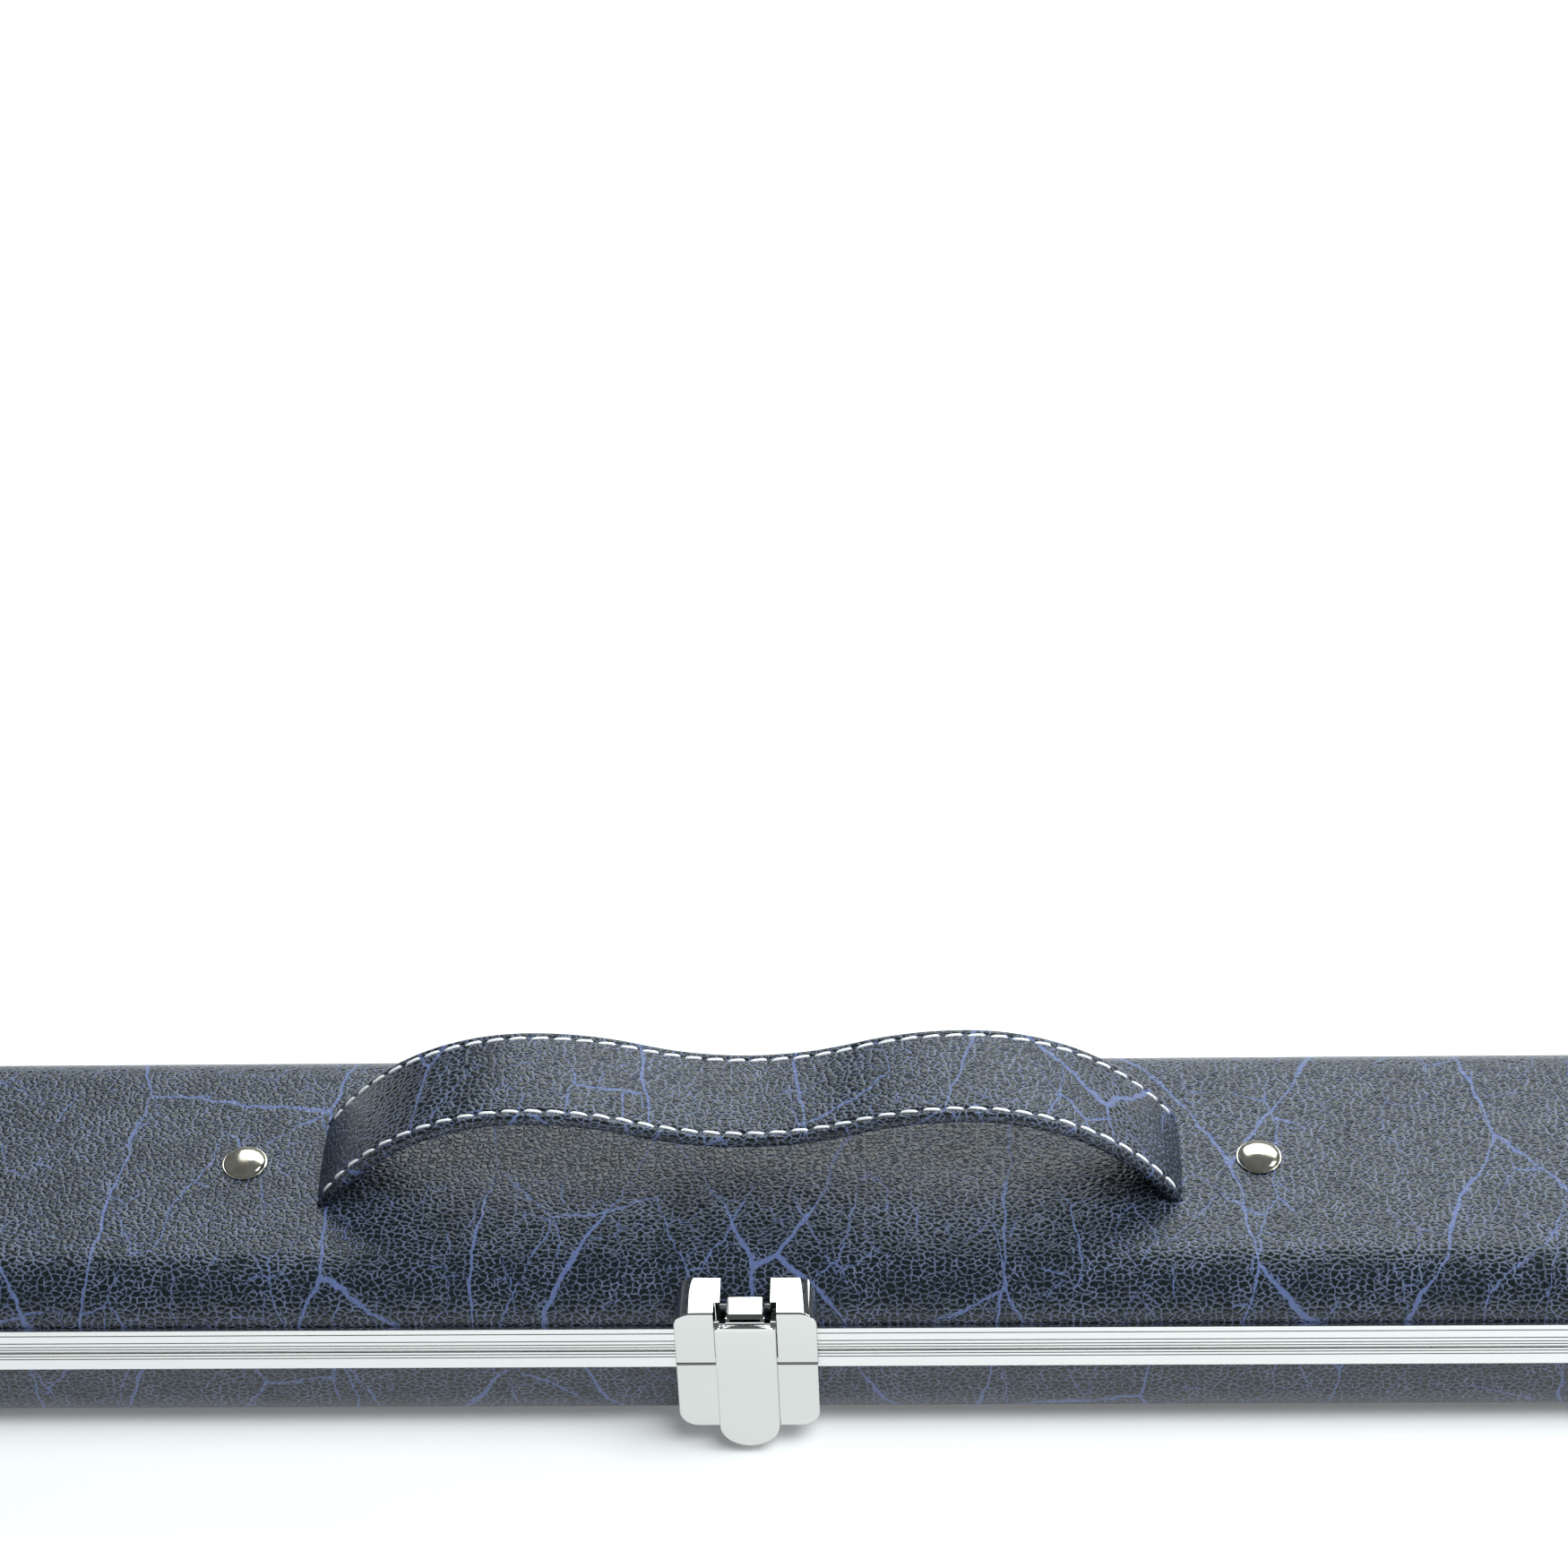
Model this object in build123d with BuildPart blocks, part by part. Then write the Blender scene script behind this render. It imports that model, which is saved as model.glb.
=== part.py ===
"""Hard cue case: leatherette-covered board base and lid, aluminium rims, three draw latches,
a continuous hinge, foam linings and a riveted strap handle.

Millimetres, +Z up.  The origin is on the floor under the middle of the case body; +X runs along
the case, -Y faces the latches and +Y faces the hinge.  The case is modelled shut and latched.
"""
import os
from math import asin, atan, cos, degrees, radians, sin, sqrt

from build123d import *

os.makedirs("parts", exist_ok=True)

# Case body, measured over the aluminium bands
case_length = 850.0
case_width = 90.0
base_height = 31.0
lid_height = 19.7
seam_gap = 0.3
corner_radius = 17.0
edge_radius = 14.5

# Walls
band_thickness = 1.0
cover_thickness = 0.8
board_thickness = 3.5
glue_gap = 0.05

# Aluminium rims
rim_web = 1.6
rim_inner_wall = 1.1
base_rim_inner_height = 9.0
base_band_height = 5.9
lid_band_height = 7.7

# Foam linings
base_foam_gap = 0.3
lid_foam_gap = 1.2
foam_lift = 0.1
foam_below_rim = 0.5
foam_corner = 9.0
channel_width = 32.0
channel_rib = 5.5
channel_end_wall = 14.0
channel_floor = 4.5

# Handle
strap_width = 30.0
strap_thickness = 3.3
strap_half_span = 105.7
strap_hump_x = 54.0
strap_hump_height = 28.0
strap_dip_height = 19.7
strap_bend = 3.6
strap_tab_end = 136.0
strap_slot_gap = 0.5
core_width = 20.0
core_thickness = 1.0
stud_x = 127.2
stud_radius = 5.7
stud_dome = 2.1
stud_rim = 0.5
stud_shank_radius = 2.0
washer_radius = 6.0
washer_thickness = 1.0
pocket_gap = 2.0

# Continuous hinge
hinge_length = 780.0
knuckle_count = 30
knuckle_radius = 2.2
knuckle_gap = 0.3
hinge_pin_radius = 1.2
hinge_fit = 0.05
leaf_thickness = 1.0
leaf_clear = 2.6
base_leaf_drop = 15.0
hinge_rivet_count = 13
rivet_head_radius = 1.9
rivet_head_height = 0.8
rivet_shank_radius = 1.1

# Latches
latch_spacing = 312.0
plate_width = 34.8
plate_proud = 4.4
plate_wall = 1.2
plate_top_wall = 1.6
plate_side_wall = 2.4
plate_rear_wall = 0.95
plate_depth = 7.2
plate_corner = 4.6
plate_seam = 0.05
plate_edge = 0.5
ear_gap = 12.3
ear_wall_end = 0.6
opening_side_gap = 0.25
opening_sill = 2.4
keeper_drop = 23.2
keeper_corner = 5.0
notch_width = 15.2
notch_height = 3.0
groove_offset = 6.9
groove_width = 1.2
groove_depth = 0.5
latch_rivet_x = 12.0
latch_rivet_boss = 2.3
lid_rivet_height = 3.5
keeper_rivet_drop = 12.5

# Lever and link of each latch, placed outwards from the band and upwards from the seam;
# the link's eye stands clear of the leatherette by a gap
link_skin_gap = 0.85
link_pivot_up = 14.2
lever_pivot_out = 4.9
lever_pivot_up = 14.7
link_pin_radius = 1.0
lever_pin_radius = 0.6
pivot_fit = 0.05
lever_width = 14.9
lever_face = 0.8
lever_depth = 2.2
lever_wall = 1.2
lever_front = 6.8
lever_nose_angle = 52.0
lever_top_rise = 1.0
lever_tip_drop = 28.2
lever_edge = 0.6
lever_cheek_radius = 1.4
lever_cheek_drop = 7.0
hook_height = 2.8
hook_clear = 0.3
link_width = 9.4
link_sheet = 1.0
link_bend = 0.9
link_eye_radius = 1.45
link_front_eye_radius = 1.0
link_nose_gap = 0.15
link_relief_angle = 145.0
link_web_low = 15.6
link_web_high = 16.6
link_web_behind = 1.0
link_web_front = 2.8
link_cheek_front = 2.6

# Levels and insets that follow from the sizes above
lid_bottom = base_height + seam_gap
case_height = lid_bottom + lid_height
half_width = case_width / 2
board_inset = band_thickness + cover_thickness + glue_gap
board_inside = board_inset + board_thickness
rim_width = board_inside + glue_gap + rim_inner_wall
board_level = cover_thickness + glue_gap + board_thickness
lid_board_inside = case_height - board_level
skin_centre_inset = band_thickness + edge_radius
rim_top_inside = rim_web + glue_gap
lid_rim_inner_height = case_height - edge_radius - lid_bottom


def outline(inset, mode=Mode.ADD):
    """Rounded rectangle of the case seen from above, moved in from the face of the bands."""
    length = case_length - 2 * inset
    width = case_width - 2 * inset
    RectangleRounded(length, width, corner_radius - inset, mode=mode)


def solid_half(inset, closed_level, open_level, radius):
    """A block that fills one half of the case, rounded along its closed face."""
    with BuildSketch(Plane.XY.offset(closed_level)) as plan:
        outline(inset)
    extrude(plan.sketch, amount=open_level - closed_level)
    levels = faces().filter_by(Axis.Z).sort_by(Axis.Z)
    closed_face = levels[0] if open_level > closed_level else levels[-1]
    fillet(closed_face.edges(), radius)


def hollow_half(inset, closed_level, open_level, radius, wall):
    """One half of the case as a tray: flat at closed_level, open at open_level, one wall thick."""
    solid_half(inset, closed_level, open_level, radius)
    levels = faces().filter_by(Axis.Z).sort_by(Axis.Z)
    open_face = levels[-1] if open_level > closed_level else levels[0]
    offset(amount=-wall, openings=open_face)


def rim_ring(outer_inset, inner_inset, level, amount):
    """One wall of a rim: the ring between two insets, extruded away from its mating face."""
    with BuildSketch(Plane.XY.offset(level)) as plan:
        outline(outer_inset)
        outline(inner_inset, Mode.SUBTRACT)
    extrude(plan.sketch, amount=amount)


def rim(level, band_rise, web_rise, inner_rise):
    """Aluminium profile: outer band, mating web and inner wall, with a slot for the board."""
    rim_ring(0, band_thickness, level, band_rise)
    rim_ring(0, rim_width, level, web_rise)
    rim_ring(rim_width - rim_inner_wall, rim_width, level, inner_rise)


def rods(places, start, end, radius, mode=Mode.ADD):
    """Round rods along Y at (x, z) places, from one y to another."""
    with BuildSketch(Plane.XZ.offset(-start)) as ends:
        with Locations(*places):
            Circle(radius)
    extrude(ends.sketch, amount=start - end, mode=mode)


# Rivet places, as (x, z) on the front and the back walls
latch_centres = {"left": -latch_spacing, "centre": 0.0, "right": latch_spacing}
latch_rivet_columns = [
    centre + side * latch_rivet_x for centre in latch_centres.values() for side in (-1, 1)
]
lid_rivet_level = base_height + lid_rivet_height
keeper_rivet_level = base_height - keeper_rivet_drop
latch_rivet_places = [(x, lid_rivet_level) for x in latch_rivet_columns]
keeper_rivet_places = [(x, keeper_rivet_level) for x in latch_rivet_columns]

hinge_axis_y = half_width + knuckle_radius + knuckle_gap
hinge_axis_z = base_height + seam_gap / 2
lid_leaf_low = hinge_axis_z + leaf_clear
lid_leaf_high = lid_bottom + lid_band_height - knuckle_gap
base_leaf_high = hinge_axis_z - leaf_clear
base_leaf_low = base_height - base_leaf_drop
hinge_rivet_pitch = hinge_length / hinge_rivet_count
hinge_rivet_columns = [
    (i - (hinge_rivet_count - 1) / 2) * hinge_rivet_pitch for i in range(hinge_rivet_count)
]
lid_hinge_rivet_level = (lid_leaf_low + lid_leaf_high) / 2
base_hinge_rivet_level = base_leaf_low + rivet_head_radius + leaf_thickness
lid_hinge_rivet_places = [(x, lid_hinge_rivet_level) for x in hinge_rivet_columns]
base_hinge_rivet_places = [(x, base_hinge_rivet_level) for x in hinge_rivet_columns]

# Base: board tray, leatherette cover, rim and foam
base_wall_top = base_height - rim_top_inside
with BuildPart() as base_shell:
    hollow_half(
        board_inset, cover_thickness + glue_gap, base_wall_top,
        edge_radius - cover_thickness - glue_gap, board_thickness,
    )
    rods(keeper_rivet_places, -half_width, 0, rivet_shank_radius, Mode.SUBTRACT)
    rods(base_hinge_rivet_places, half_width, 0, rivet_shank_radius, Mode.SUBTRACT)
base_shell.part.label = "base_shell"
export_step(base_shell.part, "parts/base_shell.step")

with BuildPart() as base_cover:
    hollow_half(band_thickness, 0, base_wall_top, edge_radius, cover_thickness)
    rods(keeper_rivet_places, -half_width, 0, rivet_shank_radius, Mode.SUBTRACT)
    rods(base_hinge_rivet_places, half_width, 0, rivet_shank_radius, Mode.SUBTRACT)
base_cover.part.label = "base_cover"
export_step(base_cover.part, "parts/base_cover.step")

with BuildPart() as base_rim:
    rim(base_height, -base_band_height, -rim_web, -base_rim_inner_height)
base_rim.part.label = "base_rim"
export_step(base_rim.part, "parts/base_rim.step")

base_foam_inset = rim_width + base_foam_gap
base_foam_top = base_height - foam_below_rim
base_foam_bottom = board_level + foam_lift
channel_radius = channel_width / 2
channel_centre_y = (channel_rib + channel_width) / 2
channel_centre_z = base_foam_bottom + channel_floor + channel_radius
channel_half_length = case_length / 2 - base_foam_inset - channel_end_wall
with BuildPart() as base_foam:
    solid_half(base_foam_inset, base_foam_bottom, base_foam_top, foam_corner)
    with BuildSketch(Plane.YZ):
        for side in (-1, 1):
            with Locations((side * channel_centre_y, channel_centre_z)):
                Circle(channel_radius)
                Rectangle(channel_width, channel_radius, align=(Align.CENTER, Align.MIN))
    extrude(amount=channel_half_length, both=True, mode=Mode.SUBTRACT)
base_foam.part.label = "base_foam"
export_step(base_foam.part, "parts/base_foam.step")

# Handle's centre line: a chain of tangent arcs, mirrored about the middle of the strap
tab_level = lid_board_inside - glue_gap - strap_thickness / 2
hump_level = case_height + strap_hump_height + strap_thickness / 2
dip_level = case_height + strap_dip_height + strap_thickness / 2
end_run = strap_half_span - strap_hump_x
end_angle = 2 * atan((hump_level - case_height) / end_run)
end_radius = end_run / sin(end_angle)
wave_angle = 2 * atan((hump_level - dip_level) / strap_hump_x)
wave_radius = strap_hump_x / 2 / sin(wave_angle)
bend_start_z = tab_level + strap_bend * (1 - cos(end_angle))
bend_start_x = strap_half_span + (case_height - bend_start_z) * cos(end_angle) / sin(end_angle)
bend_end_x = bend_start_x + strap_bend * sin(end_angle)
end_degrees = degrees(end_angle)
wave_degrees = degrees(wave_angle)

# Lid: board tray, leatherette cover, rim and foam
lid_wall_low = lid_bottom + rim_top_inside
slot_inner_x = strap_half_span - strap_thickness / 2 / sin(end_angle) - strap_slot_gap
slot_outer_x = bend_end_x + strap_slot_gap
slot_middle = (slot_inner_x + slot_outer_x) / 2
strap_slot_length = slot_outer_x - slot_inner_x
strap_slot_width = strap_width + 2 * strap_slot_gap


def handle_openings():
    """Slots for the strap ends and holes for the studs, straight down through the lid's top."""
    with BuildSketch(Plane.XY.offset(lid_board_inside - board_level)) as openings:
        for side in (-1, 1):
            with Locations((side * slot_middle, 0)):
                Rectangle(strap_slot_length, strap_slot_width)
            with Locations((side * stud_x, 0)):
                Circle(stud_shank_radius)
    extrude(openings.sketch, amount=3 * board_level, mode=Mode.SUBTRACT)


with BuildPart() as lid_shell:
    hollow_half(
        board_inset, case_height - cover_thickness - glue_gap, lid_wall_low,
        edge_radius - cover_thickness - glue_gap, board_thickness,
    )
    handle_openings()
    rods(latch_rivet_places, -half_width, 0, rivet_shank_radius, Mode.SUBTRACT)
    rods(lid_hinge_rivet_places, half_width, 0, rivet_shank_radius, Mode.SUBTRACT)
lid_shell.part.label = "lid_shell"
export_step(lid_shell.part, "parts/lid_shell.step")

with BuildPart() as lid_cover:
    hollow_half(band_thickness, case_height, lid_wall_low, edge_radius, cover_thickness)
    handle_openings()
    rods(latch_rivet_places, -half_width, 0, rivet_shank_radius, Mode.SUBTRACT)
    rods(lid_hinge_rivet_places, half_width, 0, rivet_shank_radius, Mode.SUBTRACT)
lid_cover.part.label = "lid_cover"
export_step(lid_cover.part, "parts/lid_cover.step")

with BuildPart() as lid_rim:
    rim(lid_bottom, lid_band_height, rim_web, lid_rim_inner_height)
    rods(latch_rivet_places, -half_width, 0, rivet_shank_radius, Mode.SUBTRACT)
    rods(lid_hinge_rivet_places, half_width, 0, rivet_shank_radius, Mode.SUBTRACT)
lid_rim.part.label = "lid_rim"
export_step(lid_rim.part, "parts/lid_rim.step")

lid_foam_top = lid_board_inside - foam_lift
lid_foam_bottom = lid_bottom + foam_below_rim
washer_top = tab_level - strap_thickness / 2
stud_end = washer_top - washer_thickness - rivet_head_height
pocket_inner_x = strap_half_span - pocket_gap
pocket_outer_x = strap_tab_end + pocket_gap
with BuildPart() as lid_foam:
    solid_half(rim_width + lid_foam_gap, lid_foam_top, lid_foam_bottom, foam_corner)
    with BuildSketch(Plane.XY.offset(stud_end - pocket_gap / 2)):
        for side in (-1, 1):
            with Locations((side * (pocket_inner_x + pocket_outer_x) / 2, 0)):
                Rectangle(pocket_outer_x - pocket_inner_x, strap_width + 2 * pocket_gap)
    extrude(amount=case_height, mode=Mode.SUBTRACT)
lid_foam.part.label = "lid_foam"
export_step(lid_foam.part, "parts/lid_foam.step")

# Handle: leatherette strap, steel core, domed studs and washers
def strap_line():
    """Centre line of the strap: tab, bend, straight, end arc and wave on each side of the dip."""
    for side in (-1, 1):
        start = 90 - end_degrees if side > 0 else 90
        CenterArc((side * strap_hump_x, hump_level - end_radius), end_radius, start, end_degrees)
        start = 90 if side > 0 else 90 - wave_degrees
        CenterArc((side * strap_hump_x, hump_level - wave_radius), wave_radius, start, wave_degrees)
        start = 270 if side > 0 else 270 - wave_degrees
        CenterArc((0, dip_level + wave_radius), wave_radius, start, wave_degrees)
        Line((side * strap_half_span, case_height), (side * bend_start_x, bend_start_z))
        start = 270 - end_degrees if side > 0 else 270
        CenterArc((side * bend_end_x, tab_level + strap_bend), strap_bend, start, end_degrees)
        Line((side * bend_end_x, tab_level), (side * strap_tab_end, tab_level))


def strap_band(thickness, width, mode=Mode.ADD):
    """A band of the given thickness and width that follows the strap's centre line."""
    with BuildSketch(Plane.XZ) as side_view:
        with BuildLine():
            strap_line()
            offset(amount=thickness / 2, side=Side.BOTH)
        make_face()
        for side in (-1, 1):
            with Locations((side * (strap_tab_end + thickness / 2), tab_level)):
                Rectangle(thickness, 2 * thickness, mode=Mode.SUBTRACT)
    extrude(side_view.sketch, amount=width / 2, both=True, mode=mode)


def stud_holes():
    """Holes for the two stud shanks through the strap's tabs."""
    with BuildSketch(Plane.XY.offset(tab_level - strap_thickness)) as holes:
        with Locations((-stud_x, 0), (stud_x, 0)):
            Circle(stud_shank_radius)
    extrude(holes.sketch, amount=2 * strap_thickness, mode=Mode.SUBTRACT)


with BuildPart() as handle_strap:
    strap_band(strap_thickness, strap_width)
    strap_band(core_thickness, core_width, Mode.SUBTRACT)
    stud_holes()
handle_strap.part.label = "handle_strap"
export_step(handle_strap.part, "parts/handle_strap.step")

with BuildPart() as handle_core:
    strap_band(core_thickness, core_width)
    stud_holes()
handle_core.part.label = "handle_core"
export_step(handle_core.part, "parts/handle_core.step")

dome_radius = (stud_radius ** 2 + stud_dome ** 2) / (2 * stud_dome)
dome_half_angle = degrees(asin(stud_radius / dome_radius))
dome_base = case_height + stud_rim
with BuildPart() as handle_studs:
    for side in (-1, 1):
        axis_plane = Plane.XZ.shift_origin((side * stud_x, 0, 0))
        with BuildSketch(axis_plane):
            with BuildLine():
                Polyline(
                    (stud_radius, dome_base), (stud_radius, case_height),
                    (stud_shank_radius, case_height),
                    (stud_shank_radius, stud_end + rivet_head_height),
                    (2 * stud_shank_radius, stud_end + rivet_head_height),
                    (2 * stud_shank_radius, stud_end), (0, stud_end), (0, dome_base + stud_dome),
                )
                CenterArc(
                    (0, dome_base + stud_dome - dome_radius), dome_radius,
                    90 - dome_half_angle, dome_half_angle,
                )
            make_face()
        revolve(axis=Axis((side * stud_x, 0, 0), (0, 0, 1)))
handle_studs.part.label = "handle_studs"
export_step(handle_studs.part, "parts/handle_studs.step")

with BuildPart() as handle_washers:
    with BuildSketch(Plane.XY.offset(washer_top)):
        with Locations((-stud_x, 0), (stud_x, 0)):
            Circle(washer_radius)
            Circle(stud_shank_radius, mode=Mode.SUBTRACT)
    extrude(amount=-washer_thickness)
handle_washers.part.label = "handle_washers"
export_step(handle_washers.part, "parts/handle_washers.step")

# Continuous hinge: two leaves with alternate knuckles on one pin
knuckle_pitch = hinge_length / knuckle_count
step_level = base_height - base_band_height


def knuckles(first, leaf_edge):
    """Every second knuckle from the first, each joined by a short tab to its leaf's edge."""
    for index in range(first, knuckle_count, 2):
        start = -hinge_length / 2 + index * knuckle_pitch + knuckle_gap / 2
        tab_middle = (hinge_axis_z + leaf_edge) / 2
        with BuildSketch(Plane.YZ.offset(start)) as end_view:
            with Locations((hinge_axis_y, hinge_axis_z)):
                Circle(knuckle_radius)
            with Locations((half_width + glue_gap, tab_middle)):
                Rectangle(
                    leaf_thickness, abs(hinge_axis_z - leaf_edge),
                    align=(Align.MIN, Align.CENTER),
                )
            with Locations((hinge_axis_y, hinge_axis_z)):
                Circle(hinge_pin_radius + hinge_fit, mode=Mode.SUBTRACT)
        extrude(end_view.sketch, amount=knuckle_pitch - knuckle_gap)


with BuildPart() as hinge_leaf_base:
    with BuildSketch(Plane.YZ):
        with BuildLine():
            leaf_inner = half_width + glue_gap
            skin_inner = half_width - band_thickness + glue_gap
            Polyline(
                (leaf_inner, base_leaf_high), (leaf_inner + leaf_thickness, base_leaf_high),
                (leaf_inner + leaf_thickness, step_level - leaf_thickness / 2),
                (skin_inner + leaf_thickness, step_level - 3 * leaf_thickness / 2),
                (skin_inner + leaf_thickness, base_leaf_low), (skin_inner, base_leaf_low),
                (skin_inner, step_level - leaf_thickness), (leaf_inner, step_level),
                close=True,
            )
        make_face()
    extrude(amount=hinge_length / 2, both=True)
    knuckles(0, base_leaf_high)
    rods(base_hinge_rivet_places, 2 * half_width, 0, rivet_shank_radius, Mode.SUBTRACT)
hinge_leaf_base.part.label = "hinge_leaf_base"
export_step(hinge_leaf_base.part, "parts/hinge_leaf_base.step")

with BuildPart() as hinge_leaf_lid:
    with BuildSketch(Plane.YZ):
        with Locations((half_width + glue_gap, (lid_leaf_low + lid_leaf_high) / 2)):
            Rectangle(
                leaf_thickness, lid_leaf_high - lid_leaf_low, align=(Align.MIN, Align.CENTER)
            )
    extrude(amount=hinge_length / 2, both=True)
    knuckles(1, lid_leaf_low)
    rods(lid_hinge_rivet_places, 2 * half_width, 0, rivet_shank_radius, Mode.SUBTRACT)
hinge_leaf_lid.part.label = "hinge_leaf_lid"
export_step(hinge_leaf_lid.part, "parts/hinge_leaf_lid.step")

with BuildPart() as hinge_pin:
    with BuildSketch(Plane.YZ):
        with Locations((hinge_axis_y, hinge_axis_z)):
            Circle(hinge_pin_radius)
    extrude(amount=hinge_length / 2, both=True)
    chamfer(faces().filter_by(Axis.X).edges(), hinge_pin_radius / 4)
hinge_pin.part.label = "hinge_pin"
export_step(hinge_pin.part, "parts/hinge_pin.step")


def rivets(places, outer_y, inner_y):
    """Rivets along Y: a head outside outer_y, a shank, and a closed head inside inner_y."""
    outwards = 1 if outer_y > inner_y else -1
    rods(places, outer_y + outwards * rivet_head_height, outer_y, rivet_head_radius)
    rods(places, outer_y, inner_y, rivet_shank_radius)
    rods(places, inner_y, inner_y - outwards * rivet_head_height, rivet_head_radius)


with BuildPart() as hinge_rivets_base:
    leaf_face = half_width - band_thickness + glue_gap + leaf_thickness
    rivets(base_hinge_rivet_places, leaf_face, half_width - board_inside)
hinge_rivets_base.part.label = "hinge_rivets_base"
export_step(hinge_rivets_base.part, "parts/hinge_rivets_base.step")

with BuildPart() as hinge_rivets_lid:
    leaf_face = half_width + glue_gap + leaf_thickness
    rivets(lid_hinge_rivet_places, leaf_face, half_width - rim_width)
hinge_rivets_lid.part.label = "hinge_rivets_lid"
export_step(hinge_rivets_lid.part, "parts/hinge_rivets_lid.step")


def blind_rivets(places, inner_y):
    """Rivets set from inside the case into the bosses behind a latch's plates."""
    plate_back = -half_width - plate_proud + plate_wall
    rods(places, plate_back, inner_y, rivet_shank_radius)
    rods(places, inner_y, inner_y + rivet_head_height, rivet_head_radius)


with BuildPart() as latch_rivets:
    blind_rivets(latch_rivet_places, rim_width - half_width)
latch_rivets.part.label = "latch_rivets"
export_step(latch_rivets.part, "parts/latch_rivets.step")

with BuildPart() as keeper_rivets:
    blind_rivets(keeper_rivet_places, board_inside - half_width)
keeper_rivets.part.label = "keeper_rivets"
export_step(keeper_rivets.part, "parts/keeper_rivets.step")

# Latches
skin_gap_radius = edge_radius + glue_gap
skin_centre_y = skin_centre_inset - half_width
lid_skin_centre_z = case_height - edge_radius
plate_front_y = -half_width - plate_proud
plate_back_y = -half_width - glue_gap
opening_half = lever_width / 2 + opening_side_gap
link_pivot_z = base_height + link_pivot_up
link_skin_y = skin_centre_y - sqrt(edge_radius ** 2 - (link_pivot_z - lid_skin_centre_z) ** 2)
link_pivot = (link_skin_y - link_skin_gap - link_eye_radius, link_pivot_z)
lever_pivot = (-half_width - lever_pivot_out, base_height + lever_pivot_up)
lever_tip = base_height - lever_tip_drop
lever_nose_radius = lever_front - lever_pivot_out
lever_nose_inner = lever_nose_radius - lever_face
lever_top_level = lever_pivot[1] + lever_nose_radius * sin(radians(lever_nose_angle))
lever_back_out = lever_front - lever_depth
notch_level = base_height - keeper_drop + notch_height


def skin_point(centre_z, z):
    """The place on the leatherette's rounded edge, in a section across the case, at a height."""
    return (skin_centre_y - sqrt(skin_gap_radius ** 2 - (z - centre_z) ** 2), z)


def block(x_range, y_range, z_range, mode=Mode.ADD):
    """An upright box between two places along each axis."""
    middle = ((x_range[0] + x_range[1]) / 2, (y_range[0] + y_range[1]) / 2)
    with BuildSketch(Plane.XY.offset(z_range[0])) as plan:
        with Locations(middle):
            Rectangle(x_range[1] - x_range[0], y_range[1] - y_range[0])
    extrude(plan.sketch, amount=z_range[1] - z_range[0], mode=mode)


def bosses(centre, level):
    """Two round bosses behind a plate, with holes for its rivets."""
    places = [(centre + side * latch_rivet_x, level) for side in (-1, 1)]
    rods(places, plate_front_y + plate_wall / 2, plate_back_y, latch_rivet_boss)
    rods(places, plate_front_y + plate_wall, 0, rivet_shank_radius, Mode.SUBTRACT)


def lever_outline(width, top, tip):
    """Front view of the lever: straight sides, a flat or low arched top and a half-round tip."""
    half = width / 2
    with BuildLine() as front_view:
        Polyline((-half, tip + half), (-half, top), (half, top), (half, tip + half))
        ThreePointArc((half, tip + half), (0, tip), (-half, tip + half))
    make_face(front_view.edges())


def arch_above(plane, width, top):
    """Front view of what a low arch cuts from the lever's top: all that stands above it."""
    half = width / 2 + lever_wall
    low = top - lever_top_rise * (2 * half / width) ** 2
    with BuildSketch(plane) as waste:
        with BuildLine() as line:
            ThreePointArc((-half, low), (0, top), (half, low))
            Polyline((half, low), (half, top + lever_depth), (-half, top + lever_depth), (-half, low))
        make_face(line.edges())
    return waste.sketch


def around_lever_pivot(radius, angle):
    """A place in a section across the case, turned from straight outwards towards straight up."""
    return (
        lever_pivot[0] - radius * cos(radians(angle)),
        lever_pivot[1] + radius * sin(radians(angle)),
    )


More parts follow.
